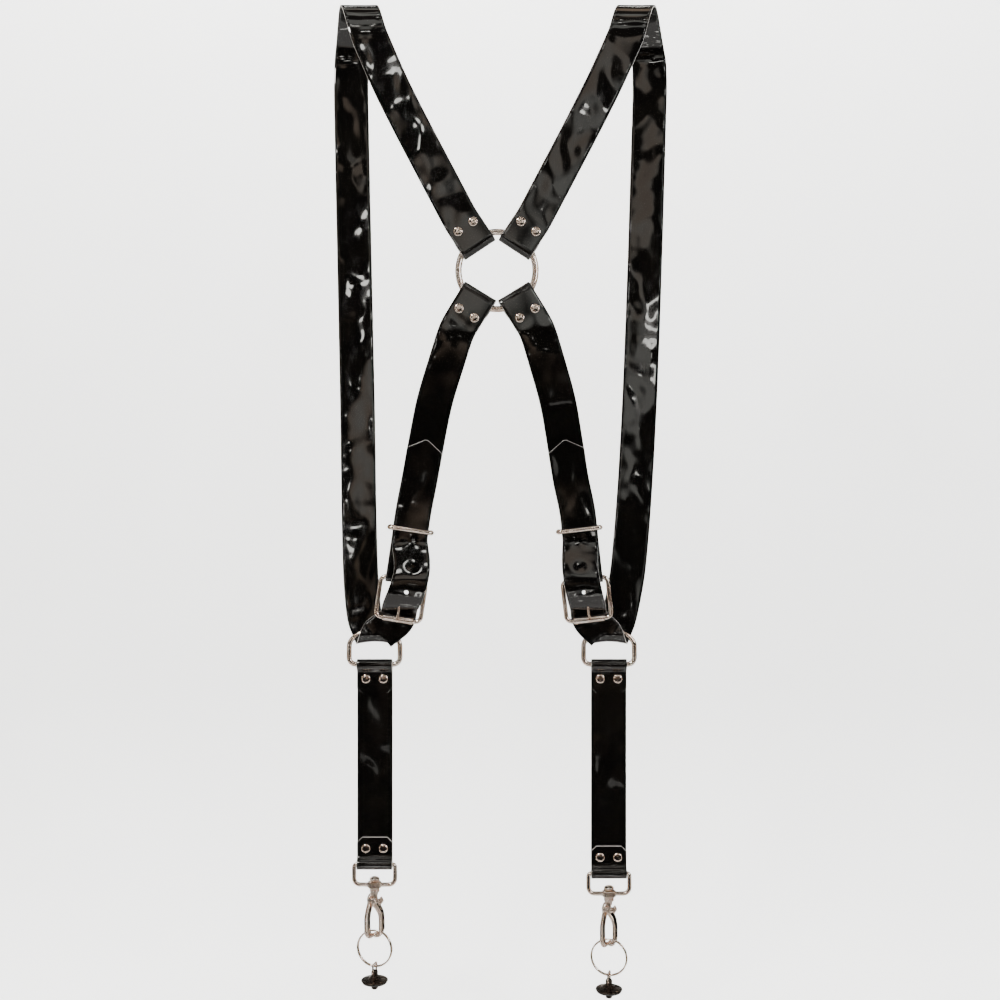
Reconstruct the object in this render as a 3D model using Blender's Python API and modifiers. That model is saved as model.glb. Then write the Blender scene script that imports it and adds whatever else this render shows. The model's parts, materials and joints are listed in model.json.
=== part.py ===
"""Cross-back camera harness: flat straps, a back ring, two belt buckles and two drop straps
that each end in a swivel snap hook, a split ring and a camera screw.

Frame: metres, +Z up, +X to the wearer's right, -Y is the side with the buckles.
The origin is the centre of the whole harness as it hangs.
"""
from math import cos, pi, radians, sin, tan

import bmesh
import bpy
from mathutils import Matrix, Vector

MM = 0.001

# ---------------------------------------------------------------- strap stock
STRAP_HALF = 15.8 * MM          # 1 1/4 inch strap
STRAP_T = 2.0 * MM
GAP = 0.3 * MM                  # left between pieces that touch
LAYER = STRAP_T + GAP           # pitch of two stacked layers
RAMP = 5.5 * MM                 # length over which a fold closes to two layers

# ---------------------------------------------------------------- heights of the hanging harness
RING_Z = 203 * MM
POLE_Z = 406 * MM               # the bar or shoulder that the straps hang over
POLE_R = 35 * MM
D_BAR_Z = -143.5 * MM
HEEL_Z = -66.5 * MM
ROLLER_DROP = 36 * MM           # heel bar to roller bar

# ---------------------------------------------------------------- back ring
RING_Y = -30 * MM
RING_WIRE = 2.75 * MM
RING_INNER = 30.8 * MM
RING_R = RING_INNER + RING_WIRE
RING_LOOP = 4.3 * MM            # strap centreline to the wire's plane
RING_SIDES = 44

# ---------------------------------------------------------------- rivets
RIVET_CAP = 4.3 * MM
RIVET_DOME = 1.9 * MM
RIVET_SHANK = 1.5 * MM
RIVET_BACK = 3.6 * MM
RIVET_BACK_T = 0.9 * MM
RIVET_HOLE = 1.8 * MM
RIVET_SPREAD = 7.8 * MM         # each rivet's distance from the strap's centreline

# ---------------------------------------------------------------- buckle, keeper, D-ring
BUCKLE_WIRE = 2.0 * MM
BUCKLE_HALF = 20.0 * MM         # wire centreline
BUCKLE_CORNER = 5.0 * MM
BUCKLE_Y = -12.5 * MM
ROLLER_R = 3.2 * MM
ROLLER_BORE = 2.3 * MM
PRONG_WIRE = 1.3 * MM
KEEPER_WIRE = 2.1 * MM
KEEPER_RISE = 44 * MM           # above the heel bar
HOLE_R = 2.1 * MM
FIRST_HOLE = -11.2 * MM         # from the heel bar
HOLE_PITCH = 22.7 * MM
D_WIRE = 2.25 * MM
D_HALF = 22.7 * MM
D_SHOULDER = 16 * MM
D_ARCH = 14 * MM
D_CORNER = 6 * MM
D_SWING_RISE = 24.4 * MM        # bar to the line that the ring hangs on
BIGHT_R = 6.6 * MM
BIGHT_RISE = 27.7 * MM
BIGHT_LEAN = radians(22)

# ---------------------------------------------------------------- swivel eye, hook, split ring
EYE_WIRE = 1.9 * MM
EYE_HALF = 18.3 * MM
EYE_DROP = 18 * MM
EYE_CORNER = 5.5 * MM
BOSS_R = 6.2 * MM
BOSS_HALF = 2.8 * MM
POST_R = 1.9 * MM
POST_HOLE = 2.3 * MM
HOOK_YAW = radians(48)
SPLIT_YAW = radians(-16)
PIVOT_DROP = 31.5 * MM          # eye bar to jaw pivot
PIVOT_SIDE = -3.0 * MM
PIN_R = 1.4 * MM
PIN_HOLE = 1.7 * MM
SPLIT_R = 15.9 * MM
SPLIT_WIRE = 0.8 * MM
SPLIT_PITCH = 1.7 * MM
SPLIT_TOP = 59.0 * MM           # eye bar to the split ring's top wire
BAIL_WIRE = 0.9 * MM

# ---------------------------------------------------------------- camera screw (1/4-20 UNC)
STUD_R = 3.17 * MM
STUD_L = 7.4 * MM               # below the flange
FLANGE_R = 12.0 * MM
FLANGE_T = 1.0 * MM
FLANGE_TOP = -5.6 * MM          # below the screw's cross hole
HEAD_R = 5.6 * MM
LUG_R = 3.0 * MM
WASHER_R = 11.0 * MM
WASHER_T = 1.5 * MM

# Each side as it hangs: how far out its strap lies at each height, its drop strap's length, and
# how far the belt's free end bulges inwards beside its buckle.
SIDES = {
    "left": {
        "sign": -1, "pole_x": (111 * MM, 125 * MM, 134.5 * MM),
        "chest_x": (134.5 * MM, 127 * MM, 123.5 * MM),
        "drop_x": 109.5 * MM, "heel_x": 82.5 * MM, "belt_lean": radians(8.5), "drop": 179 * MM,
        "bulge": 6.5 * MM,
    },
    "right": {
        "sign": 1, "pole_x": (112 * MM, 126.5 * MM, 140.5 * MM),
        "chest_x": (140.5 * MM, 129.5 * MM, 119 * MM),
        "drop_x": 100 * MM, "heel_x": 77.5 * MM, "belt_lean": radians(6.5), "drop": 187 * MM,
        "bulge": 3.5 * MM,
    },
}

X = Vector((1, 0, 0))
Y = Vector((0, 1, 0))
Z = Vector((0, 0, 1))


# ---------------------------------------------------------------- scene helpers
def clear_scene():
    for old in list(bpy.data.objects):
        bpy.data.objects.remove(old, do_unlink=True)


def collection(name):
    made = bpy.data.collections.new(name)
    bpy.context.scene.collection.children.link(made)
    return made


def material(name, colour, roughness, metallic):
    made = bpy.data.materials.new(name)
    made.use_nodes = True
    shader = made.node_tree.nodes["Principled BSDF"]
    shader.inputs["Base Color"].default_value = (*colour, 1)
    shader.inputs["Roughness"].default_value = roughness
    shader.inputs["Metallic"].default_value = metallic
    return made


def patent_black(name):
    return material(name, (0.012, 0.012, 0.013), 0.06, 0.0)


def nickel(name):
    return material(name, (0.78, 0.72, 0.66), 0.12, 1.0)


def add(name, data, finish, matrix=None, parent=None):
    """Link one named object to the harness, with its own material."""
    made = bpy.data.objects.new(name, data)
    PARTS.objects.link(made)
    made.data.materials.append(finish(name))
    made.parent = parent
    made.matrix_local = matrix or Matrix.Identity(4)
    return made


def mesh_from(name, bm):
    data = bpy.data.meshes.new(name)
    bm.to_mesh(data)
    bm.free()
    return data


def shade(made, angle=40):
    made.data.shade_smooth()
    made.data.set_sharp_from_angle(angle=radians(angle))


def axes_matrix(origin, x_axis, y_axis, z_axis):
    turn = Matrix((x_axis, y_axis, z_axis)).transposed().to_4x4()
    return Matrix.Translation(origin) @ turn


def upright_on(origin, normal):
    """A frame whose Z is the given normal."""
    turn = normal.to_track_quat("Z", "Y").to_matrix().to_4x4()
    return Matrix.Translation(origin) @ turn


# ---------------------------------------------------------------- shape helpers
def arc(centre_u, centre_v, radius_u, radius_v, start, end, count):
    """Points of an ellipse's arc, in degrees, in a plane (u, v)."""
    points = []
    for i in range(count + 1):
        a = radians(start + (end - start) * i / count)
        points.append((centre_u + radius_u * cos(a), centre_v + radius_v * sin(a)))
    return points


def in_xz(points):
    return [Vector((u, 0, v)) for u, v in points]


def in_xy(points):
    return [Vector((u, v, 0)) for u, v in points]


def wire_curve(name, points, radius, cyclic, roundness, shares=None):
    data = bpy.data.curves.new(name, "CURVE")
    data.dimensions = "3D"
    data.bevel_depth = radius
    data.bevel_resolution = roundness
    data.use_fill_caps = not cyclic
    line = data.splines.new("POLY")
    line.points.add(len(points) - 1)
    for i, (slot, point) in enumerate(zip(line.points, points)):
        slot.co = (*point, 1)
        slot.radius = shares[i] if shares else 1
    line.use_cyclic_u = cyclic
    return data


def wire_mesh(name, points, radius, cyclic, roundness=1, shares=None):
    """A bent wire as a closed mesh, ready for a Boolean; shares scale its radius at each point."""
    data = wire_curve(name, points, radius, cyclic, roundness, shares)
    guide = bpy.data.objects.new(name + "_guide", data)
    PARTS.objects.link(guide)
    seen = guide.evaluated_get(bpy.context.evaluated_depsgraph_get())
    made = bpy.data.meshes.new_from_object(seen)
    bpy.data.objects.remove(guide, do_unlink=True)
    bm = bmesh.new()
    bm.from_mesh(made)
    bmesh.ops.remove_doubles(bm, verts=bm.verts, dist=1e-6)
    bm.to_mesh(made)
    bm.free()
    return made


def wire(name, points, radius, cyclic, finish, matrix=None, parent=None, roundness=1):
    data = wire_mesh(name, points, radius, cyclic, roundness)
    made = add(name, data, finish, matrix, parent)
    shade(made)
    return made


def turned(name, profile, finish, matrix=None, parent=None, steps=14):
    """A solid turned about Z from a profile that runs down its outer side."""
    bm = bmesh.new()
    corners = [bm.verts.new((r, 0, z)) for r, z in profile]
    for a, b in zip(corners, corners[1:]):
        bm.edges.new((a, b))
    made = add(name, mesh_from(name, bm), finish, matrix, parent)
    screw = made.modifiers.new("turn", "SCREW")
    screw.steps = screw.render_steps = steps
    screw.use_merge_vertices = True
    screw.merge_threshold = 1e-6
    screw.use_smooth_shade = True
    return made


def rod_cutter(name, radius, length, matrix, parent=None):
    """A cylinder along Z that takes material away."""
    bm = bmesh.new()
    bmesh.ops.create_cone(bm, cap_ends=True, segments=12, radius1=radius, radius2=radius,
                          depth=length)
    return cutter(name, mesh_from(name, bm), matrix, parent)


def cutter(name, data, matrix, parent=None):
    made = bpy.data.objects.new(name, data)
    CUTTERS.objects.link(made)
    made.parent = parent
    made.matrix_local = matrix
    made.hide_render = True
    made.display_type = "WIRE"
    return made


def rods_cutter(name, radius, length, places):
    """One cutter of several separate cylinders, each along Z of its place."""
    bm = bmesh.new()
    for place in places:
        bmesh.ops.create_cone(bm, cap_ends=True, segments=8, radius1=radius,
                              radius2=radius, depth=length, matrix=place)
    return cutter(name, mesh_from(name, bm), Matrix.Identity(4))


def cut(made, tool, operation="DIFFERENCE"):
    step = made.modifiers.new(operation.lower(), "BOOLEAN")
    step.operation = operation
    step.object = tool
    step.solver = "EXACT"


# ---------------------------------------------------------------- strap geometry
def through(points, spacing=7 * MM):
    """A smooth line through the given points (Catmull-Rom), in steps of about the given spacing."""
    ends = [points[0] * 2 - points[1], *points, points[-1] * 2 - points[-2]]
    line = []
    for i in range(1, len(ends) - 2):
        a, b, c, d = ends[i - 1:i + 3]
        count = max(1, round((c - b).length / spacing))
        m0 = (c - a) * ((c - b).length / ((c - b).length + (b - a).length))
        m1 = (d - b) * ((c - b).length / ((d - c).length + (c - b).length))
        for k in range(count):
            t = k / count
            line.append(b * (2 * t**3 - 3 * t**2 + 1) + m0 * (t**3 - 2 * t**2 + t)
                        + c * (3 * t**2 - 2 * t**3) + m1 * (t**3 - t**2))
    line.append(points[-1].copy())
    return line


def stations(points, guide, half=STRAP_HALF):
    return [(point, guide, half) for point in points]


def folded_end(centre, along, side, outward, radius, near, far, flap, clip=0.0):
    """A strap end folded round a wire: the flap's tip first, the main layer last.

    near and far say where, along the strap, the straight part of the fold's slot begins and ends.
    """
    def place(s, n):
        return centre + along * s + outward * n

    inner = radius - LAYER
    ramp = far + RAMP
    made = []
    if clip:
        made.append((place(flap, inner), side, STRAP_HALF - clip))
        made.append((place(flap - clip, inner), side, STRAP_HALF))
    else:
        made.append((place(flap, inner), side, STRAP_HALF))
    made.append((place(ramp, inner), side, STRAP_HALF))
    for k in (1, 2):
        drop = (1 - cos(pi * k / 3)) / 2
        made.append((place(ramp - RAMP * k / 3, inner - (radius + inner) * drop), side, STRAP_HALF))
    made.append((place(far, -radius), side, STRAP_HALF))
    for k in range(7):
        a = pi * k / 6
        made.append((place(near - radius * sin(a), -radius * cos(a)), side, STRAP_HALF))
    made.append((place(far, radius), side, STRAP_HALF))
    return made


def strap(name, line, finish=patent_black, origin=None, parent=None):
    """A flat strap along its stations, each a point, a width direction and a half width."""
    at = origin or Vector((0, 0, 0))
    bm = bmesh.new()
    rows = []
    for i, (point, guide, half) in enumerate(line):
        ahead = line[min(i + 1, len(line) - 1)][0] - line[max(i - 1, 0)][0]
        ahead.normalize()
        side = (guide - ahead * guide.dot(ahead)).normalized()
        rows.append([bm.verts.new(point - at + side * half * k) for k in (-1, 1)])
    for a, b in zip(rows, rows[1:]):
        bm.faces.new((a[0], a[1], b[1], b[0]))
    made = add(name, mesh_from(name, bm), finish, Matrix.Translation(at), parent)
    thick = made.modifiers.new("thickness", "SOLIDIFY")
    thick.thickness = STRAP_T
    thick.offset = 0
    thick.use_even_offset = True
    return made


def rivet_pair(prefix, centre, side, outward, parent=None, origin=None):
    """Two cap rivets through the two layers of a fold; centre is midway between the layers."""
    at = origin or Vector((0, 0, 0))
    top = STRAP_T + GAP * 1.5
    profile = [(0, top + RIVET_DOME)]
    profile += [(RIVET_CAP * sin(a), top + 0.5 * MM + (RIVET_DOME - 0.5 * MM) * cos(a))
                for a in (radians(35), radians(65), radians(90))]
    profile += [(RIVET_CAP, top), (RIVET_SHANK, top), (RIVET_SHANK, -top), (RIVET_BACK, -top),
                (RIVET_BACK, -top - RIVET_BACK_T), (0, -top - RIVET_BACK_T)]
    for word, k in (("inner", -1), ("outer", 1)):
        place = upright_on(centre - at + side * RIVET_SPREAD * k, outward)
        turned(f"{prefix}_rivet_{word}", profile, nickel, place, parent, steps=8)


def rivet_places(centre, side, outward):
    return [upright_on(centre + side * RIVET_SPREAD * k, outward) for k in (-1, 1)]


# ---------------------------------------------------------------- where each side's pieces lie
def smooth_step(t):
    t = min(1, max(0, t))
    return t * t * (3 - 2 * t)


def outwards(side, x):
    return side["sign"] * x


def ring_loop(side, lean, rise, offset):
    """Centre, strap direction and width direction of a fold on the back ring."""
    sign = side["sign"]
    along = Vector((sign * sin(lean), 0, rise * cos(lean)))
    across = Vector((cos(lean), 0, -sign * rise * sin(lean)))
    centre = Vector((0, RING_Y, RING_Z)) + across * sign * offset
    return centre, along, across


UPPER_LOOP = {"lean": radians(33.5), "rise": 1, "offset": 2.2 * MM, "near": 28.0 * MM}
LOWER_LOOP = {"lean": radians(31.5), "rise": -1, "offset": 2.6 * MM, "near": 27.8 * MM}
LOOP_FAR = 36.6 * MM
LOOP_RIVETS = 46 * MM
LOOP_FLAP = 55 * MM
LOOP_END = 56 * MM


def ring_end(side, loop):
    centre, along, across = ring_loop(side, loop["lean"], loop["rise"], loop["offset"])
    line = folded_end(centre, along, across, -Y, RING_LOOP, loop["near"], LOOP_FAR, LOOP_FLAP)
    leave = centre + along * LOOP_END - Y * RING_LOOP
    rivets = centre + along * LOOP_RIVETS - Y * (RING_LOOP - LAYER / 2)
    return line, leave, rivets, across


def belt_axes(side):
    lean = side["belt_lean"]
    up = Vector((-side["sign"] * sin(lean), 0, cos(lean)))
    across = Vector((cos(lean), 0, side["sign"] * sin(lean)))
    heel = Vector((outwards(side, side["heel_x"]), BUCKLE_Y, HEEL_Z))
    return heel, up, across


HEEL_LOOP = BUCKLE_WIRE + 0.35 * MM + STRAP_T / 2


def belt(side, s, n, inwards=0.0):
    """A point by the belt's centreline: s up from the heel bar, n out towards the front."""
    heel, up, across = belt_axes(side)
    return heel + up * s - Y * n - across * outwards(side, inwards)


def over_pole(side):
    """The strap's centreline over the bar, from the front tangent to the back one."""
    radius = POLE_R + GAP + STRAP_T / 2
    front, top, back = side["pole_x"]
    line = []
    spans = 11                  # odd, so that one flat facet lies on top of the bar
    for k in range(spans + 1):
        t = k / spans
        x = front * (1 - t) * (1 - 2 * t) + top * 4 * t * (1 - t) + back * t * (2 * t - 1)
        line.append(Vector((outwards(side, x), -radius * cos(pi * t),
                            POLE_Z + radius * sin(pi * t))))
    return line


def chest_y(z):
    low = D_BAR_Z + BIGHT_RISE
    radius = POLE_R + GAP + STRAP_T / 2
    return BIGHT_R + (radius - BIGHT_R) * (z - low) / (POLE_Z - low)


def bight(side):
    """The helical U that carries the D-ring, from the chest side to the front."""
    half_shift = pi * BIGHT_R * tan(BIGHT_LEAN) / 2
    line = []
    for k in range(9):
        t = k / 8
        x = side["drop_x"] + half_shift * (1 - 2 * t)
        line.append(Vector((outwards(side, x), BIGHT_R * cos(pi * t),
                            D_BAR_Z + BIGHT_RISE - BIGHT_R * sin(pi * t))))
    return line


CHEST_DROPS = (32 * MM, 311 * MM, 457 * MM)      # below the bar, where chest_x holds


def chest_line(side):
    """From the bar's back down to the D-ring's bight."""
    entry = bight(side)[0]
    points = [over_pole(side)[-1]]
    for x, drop in zip(side["chest_x"], CHEST_DROPS):
        z = POLE_Z - drop
        points.append(Vector((outwards(side, x), chest_y(z), z)))
    lead = 14 * MM
    points.append(entry + Vector((outwards(side, lead * tan(BIGHT_LEAN)), 0.6 * MM, lead)))
    points.append(entry)
    return through(points, 20 * MM)[1:-1]


BACK_LINE = ((43, 78), (53.5, 113), (60.5, 148), (66.5, 182))     # mm out, mm below the ring
BACK_LEAD = 8 * MM              # over which the strap starts to turn down, below its loop
BACK_TURN = radians(4)


def back_line(side):
    """The back strap's main layer from the ring's lower loop to the straight belt."""
    _, leave, _, _ = ring_end(side, LOWER_LOOP)
    shift = (side["heel_x"] - 80 * MM) * 0.7
    turn = LOWER_LOOP["lean"] - BACK_TURN
    points = [leave, leave + Vector((outwards(side, sin(turn)), 0, -cos(turn))) * BACK_LEAD]
    for x, drop in BACK_LINE:
        t = smooth_step((drop - 46) / 164)
        y = leave.y + (BUCKLE_Y - HEEL_LOOP - leave.y) * t
        points.append(Vector((outwards(side, x * MM + shift * t), y, RING_Z - drop * MM)))
    points += [belt(side, s * MM, HEEL_LOOP) for s in (62, 40, 18)]
    return through(points, 12 * MM)


def at_height(line, z):
    """The point of a falling or rising line at one height."""
    for a, b in zip(line, line[1:]):
        if min(a.z, b.z) <= z <= max(a.z, b.z) and a.z != b.z:
            return a.lerp(b, (z - a.z) / (b.z - a.z))
    raise ValueError("the line doesn't reach this height")


TIP_Z = 55.5 * MM
TIP_L = 9 * MM
# s up from the heel bar and n towards the front, in mm, and the share of the side's bulge: under
# the roller, through the frame, out over the heel bar and back onto the fixed strap
FREE_END = ((-36, -5.3, 0), (-32.2, -4.4, 0), (-28.2, -0.6, 0.02), (-24.4, 4.4, 0.1),
            (-15, 9.5, 0.55), (-2, 11.2, 0.95), (12, 9.6, 1), (25, 7.0, 0.5), (34, 5.65, 0.05))


def free_line(side):
    """The strap's free end, from the bight up through the buckle to the start of its tip."""
    leave = bight(side)[-1]
    points = [leave] + [belt(side, s * MM, n * MM, side["bulge"] * k) for s, n, k in FREE_END]
    line = through(points, 5.5 * MM)[1:]
    lift = -Y * (LAYER + 0.15 * MM)
    above = [p + lift for p in reversed(back_line(side))]
    line += [p for p in above if line[-1].z + 4 * MM < p.z < TIP_Z - TIP_L - 3 * MM]
    line.append(at_height(above, TIP_Z - TIP_L))
    return line, at_height(above, TIP_Z)


def belt_hole_places(side):
    """Where the adjusting holes pierce the free end, each with the strap's own normal."""
    line, _ = free_line(side)
    places = []
    for s in (FIRST_HOLE + HOLE_PITCH * k for k in range(3)):
        z = belt(side, s, 0).z
        point = at_height(line, z)
        ahead = (at_height(line, z + 2 * MM) - at_height(line, z - 2 * MM)).normalized()
        places.append(upright_on(point, ahead.cross(X).normalized()))
    return places


# ---------------------------------------------------------------- straps
def shoulder_strap(name, side):
    line, leave, rivets, across = ring_end(side, UPPER_LOOP)
    front = [leave, Vector((outwards(side, 88 * MM), -35.6 * MM, RING_Z + 151.4 * MM)),
             over_pole(side)[0]]
    line += stations(through(front, 18 * MM)[:-1], X)
    line += stations(over_pole(side), X)
    line += stations(chest_line(side), X)
    line += stations(bight(side), X)
    free, apex = free_line(side)
    line += stations(free, X)
    line.append((apex, X, 1.5 * MM))
    made = strap(f"{name}_shoulder_strap", line)
    cut(made, rods_cutter(f"{name}_shoulder_rivet_holes", RIVET_HOLE, 12 * MM,
                          rivet_places(rivets, across, -Y)))
    cut(made, rods_cutter(f"{name}_belt_holes", HOLE_R, 5 * MM, belt_hole_places(side)))
    heel, up, across_belt = belt_axes(side)
    slot = axes_matrix(belt(side, -24.5 * MM, 4.9 * MM), across_belt, -Y, up)
    cut(made, rod_cutter(f"{name}_prong_hole", 2.5 * MM, 13 * MM, slot))
    rivet_pair(f"{name}_upper_ring", rivets, across, -Y)


def back_strap(name, side):
    line, _, rivets, across = ring_end(side, LOWER_LOOP)
    line += stations(back_line(side), X)
    heel, up, across_belt = belt_axes(side)
    fold = folded_end(heel, up, across_belt, -Y, HEEL_LOOP, 0, 1.5 * MM, 28 * MM)
    line += reversed(fold[:-1])
    made = strap(f"{name}_back_strap", line)
    cut(made, rods_cutter(f"{name}_back_rivet_holes", RIVET_HOLE, 12 * MM,
                          rivet_places(rivets, across, -Y)))
    low = belt(side, 20 * MM, HEEL_LOOP - LAYER / 2)
    cut(made, rods_cutter(f"{name}_heel_rivet_holes", RIVET_HOLE, 12 * MM,
                          rivet_places(low, across_belt, Y)))
    bm = bmesh.new()
    bmesh.ops.create_cube(bm, size=1, matrix=Matrix.Diagonal((3.6 * MM, 13 * MM, 14 * MM, 1)))
    slot = axes_matrix(belt(side, 1 * MM, 0), across_belt, Y, up)
    cut(made, cutter(f"{name}_prong_slot", mesh_from(f"{name}_prong_slot", bm), slot))
    rivet_pair(f"{name}_lower_ring", rivets, across, -Y)
    rivet_pair(f"{name}_heel", low, across_belt, Y)


def drop_strap(name, side, at_bar):
    """The short strap between the D-ring's bar and the eye's bar; its origin is the upper bar."""
    low = Vector((0, 0, -side["drop"]))
    radius = D_WIRE + 0.35 * MM + STRAP_T / 2
    clip = 4.5 * MM
    zero = Vector((0, 0, 0))
    top = folded_end(zero, -Z, X, Y, radius, 0, 1.5 * MM, 25.8 * MM, clip)
    bottom = folded_end(low, Z, X, Y, radius, 0, 1.5 * MM, 24 * MM, clip)
    middle = [Vector((0, radius, -side["drop"] * k / 6)) for k in range(1, 6)]
    line = top + stations(middle, X) + list(reversed(bottom))
    made = strap(f"{name}_drop_strap", line, parent=at_bar)
    for word, centre in (("top", -Z * 13 * MM), ("bottom", low + Z * 14.2 * MM)):
        centre = centre + Y * (radius - LAYER / 2)
        holes = [at_bar.matrix_world @ m for m in rivet_places(centre, X, -Y)]
        cut(made, rods_cutter(f"{name}_drop_{word}_holes", RIVET_HOLE, 12 * MM, holes))
        rivet_pair(f"{name}_drop_{word}", centre, X, -Y, parent=at_bar)


# ---------------------------------------------------------------- ring, buckle and D-ring
def back_ring():
    circle = [Vector((RING_R * cos(2 * pi * k / RING_SIDES), 0, RING_R * sin(2 * pi * k / RING_SIDES)))
              for k in range(RING_SIDES)]
    wire("back_ring", circle, RING_WIRE, True, nickel,
         Matrix.Translation((0, RING_Y, RING_Z)), roundness=2)


def buckle(name, side):
    heel, up, across = belt_axes(side)
    place = axes_matrix(heel, across, Y, up)
    low = -ROLLER_DROP
    c = BUCKLE_CORNER
    flat = BUCKLE_HALF - c
    outline = (arc(flat, -c, c, c, 90, 0, 4) + arc(flat, low + c, c, c, 0, -90, 4)
               + arc(-flat, low + c, c, c, 270, 180, 4) + arc(-flat, -c, c, c, 180, 90, 4))
    wire(f"{name}_buckle_frame", in_xz(outline), BUCKLE_WIRE, True, nickel, place)

    at_roller = axes_matrix(belt(side, low, 0), Y, up, across)
    half = flat - 1.5 * MM
    turned(f"{name}_buckle_roller",
           [(ROLLER_BORE, half), (ROLLER_R, half), (ROLLER_R, -half), (ROLLER_BORE, -half),
            (ROLLER_BORE, half)], nickel, at_roller, steps=20)

    turn = BUCKLE_WIRE + GAP + PRONG_WIRE
    hook = [Vector((0, -turn * cos(radians(a)), turn * sin(radians(a)))) for a in range(205, -1, -22)]
    rest = ROLLER_R + 0.4 * MM + PRONG_WIRE
    hook += [Vector((0, -rest, low + 6 * MM)), Vector((0, -rest, low - 1.5 * MM))]
    wire(f"{name}_buckle_prong", hook, PRONG_WIRE, False, nickel, place)


def keeper(name, side):
    _, up, across = belt_axes(side)
    inner_n = HEEL_LOOP - STRAP_T / 2 - 0.4 * MM
    outer_n = HEEL_LOOP + LAYER + STRAP_T / 2 + 0.55 * MM
    middle = (inner_n + outer_n) / 2
    deep = (outer_n - inner_n) / 2 + KEEPER_WIRE
    wide = STRAP_HALF + 0.5 * MM + KEEPER_WIRE
    c = 2.6 * MM
    corners = ((wide - c, deep - c, 0), (-wide + c, deep - c, 90),
               (-wide + c, -deep + c, 180), (wide - c, -deep + c, 270))
    outline = [p for u, v, start in corners for p in arc(u, v, c, c, start, start + 90, 3)]
    place = axes_matrix(belt(side, KEEPER_RISE, middle), across, Y, up)
    wire(f"{name}_keeper_loop", in_xy(outline), KEEPER_WIRE, True, nickel, place)


def d_ring(name, at_swing):
    """The D-ring, in a frame whose origin is the line that it hangs on."""
    c = D_CORNER
    flat = D_HALF - c
    outline = (arc(-flat, c, c, c, 180, 270, 4) + arc(flat, c, c, c, -90, 0, 4)
               + arc(0, D_SHOULDER, D_HALF, D_ARCH, 0, 180, 14))
    points = [p - Z * D_SWING_RISE for p in in_xz(outline)]
    wire(f"{name}_d_ring", points, D_WIRE, True, nickel, parent=at_swing, roundness=2)


# ---------------------------------------------------------------- swivel eye and snap hook
def union_of(made, data, place=None):
    """Join a mesh to a solid that it overlaps."""
    tool = cutter(made.name + "_join", data, place or Matrix.Identity(4), made)
    cut(made, tool, "UNION")


def rod_mesh(name, radius, length, sides=16):
    bm = bmesh.new()
    bmesh.ops.create_cone(bm, cap_ends=True, segments=sides, radius1=radius, radius2=radius,
                          depth=length)
    return mesh_from(name, bm)


def swivel_eye(name, at_eye):
    """The D-shaped eye that hangs in the strap's fold, with the boss that the hook turns in."""
    c = EYE_CORNER
    top = 2.5 * MM
    low = -EYE_DROP
    outline = (arc(EYE_HALF - top, -top, top, top, 90, 0, 3)
               + arc(EYE_HALF - c, low + c, c, c, 0, -90, 4)
               + arc(-EYE_HALF + c, low + c, c, c, 270, 180, 4)
               + arc(-EYE_HALF + top, -top, top, top, 180, 90, 3))
    made = wire(f"{name}_swivel_eye", in_xz(outline), EYE_WIRE, True, nickel, parent=at_eye)
    centre = Matrix.Translation((0, 0, low))
    union_of(made, rod_mesh("boss", BOSS_R, 2 * BOSS_HALF), centre)
    cut(made, rod_cutter(f"{name}_post_bore", POST_HOLE, 6 * BOSS_HALF, centre, made))


POST_CAP = 4.5 * MM
POST_NECK = 3.0 * MM


def post_profile():
    """The hook's swivel post: a cap above the eye's boss, and a collar and neck below it."""
    clear = BOSS_HALF + 0.4 * MM
    cap_low, collar = clear - EYE_DROP, -clear - EYE_DROP
    return [(0, cap_low + 4.2 * MM), (2.8 * MM, cap_low + 3.8 * MM), (POST_CAP, cap_low + 2.2 * MM),
            (POST_CAP, cap_low), (POST_R, cap_low), (POST_R, collar), (POST_CAP, collar),
            (POST_CAP, collar - 2.8 * MM), (POST_NECK, collar - 4.0 * MM),
            (POST_NECK, collar - 6.6 * MM), (0, collar - 6.6 * MM)]


ARM_HALF_T = 1.3 * MM
JAW_HALF_T = 1.15 * MM
ARM_HALF_W = 3.6 * MM           # the arms are wider in the hook's plane than they are thick
ARM_TIP_W = 1.6 * MM            # half width at the bottom of the jaws
THUMB_HALF_W = 3.2 * MM
ARM_Y = 1.5 * MM
JAW_OPEN = 3.7 * MM             # radius of the round end of the jaws' opening
JAW_U_Z = -57.7 * MM


def jaw_round(start, end, count):
    """The round end of one jaw, in degrees: its centreline and its half widths."""
    line, widths = [], []
    for i in range(count + 1):
        a = radians(start + (end - start) * i / count)
        width = ARM_TIP_W + (ARM_HALF_W - ARM_TIP_W) * abs(cos(a))
        reach = JAW_OPEN + width
        line.append((reach * cos(a), JAW_U_Z + reach * sin(a)))
        widths.append(width)
    return line, widths


def flat_bar(points, widths, thin, half_thickness):
    """A bent bar, thinner along one axis (1 for Y, 2 for Z) of the frame that its points lie in."""
    half_width = max(widths)
    shares = [width / half_width for width in widths]
    data = wire_mesh("bar", points, half_width, False, 1, shares)
    scale = [1, 1, 1, 1]
    scale[thin] = half_thickness / half_width
    data.transform(Matrix.Diagonal(scale))
    return data


def pivot_axes():
    """The pivot's frame in the hook's own frame: Z along the pin, towards the front."""
    return axes_matrix(Vector((PIVOT_SIDE, 0, -PIVOT_DROP)), X, Z, -Y)


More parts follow.
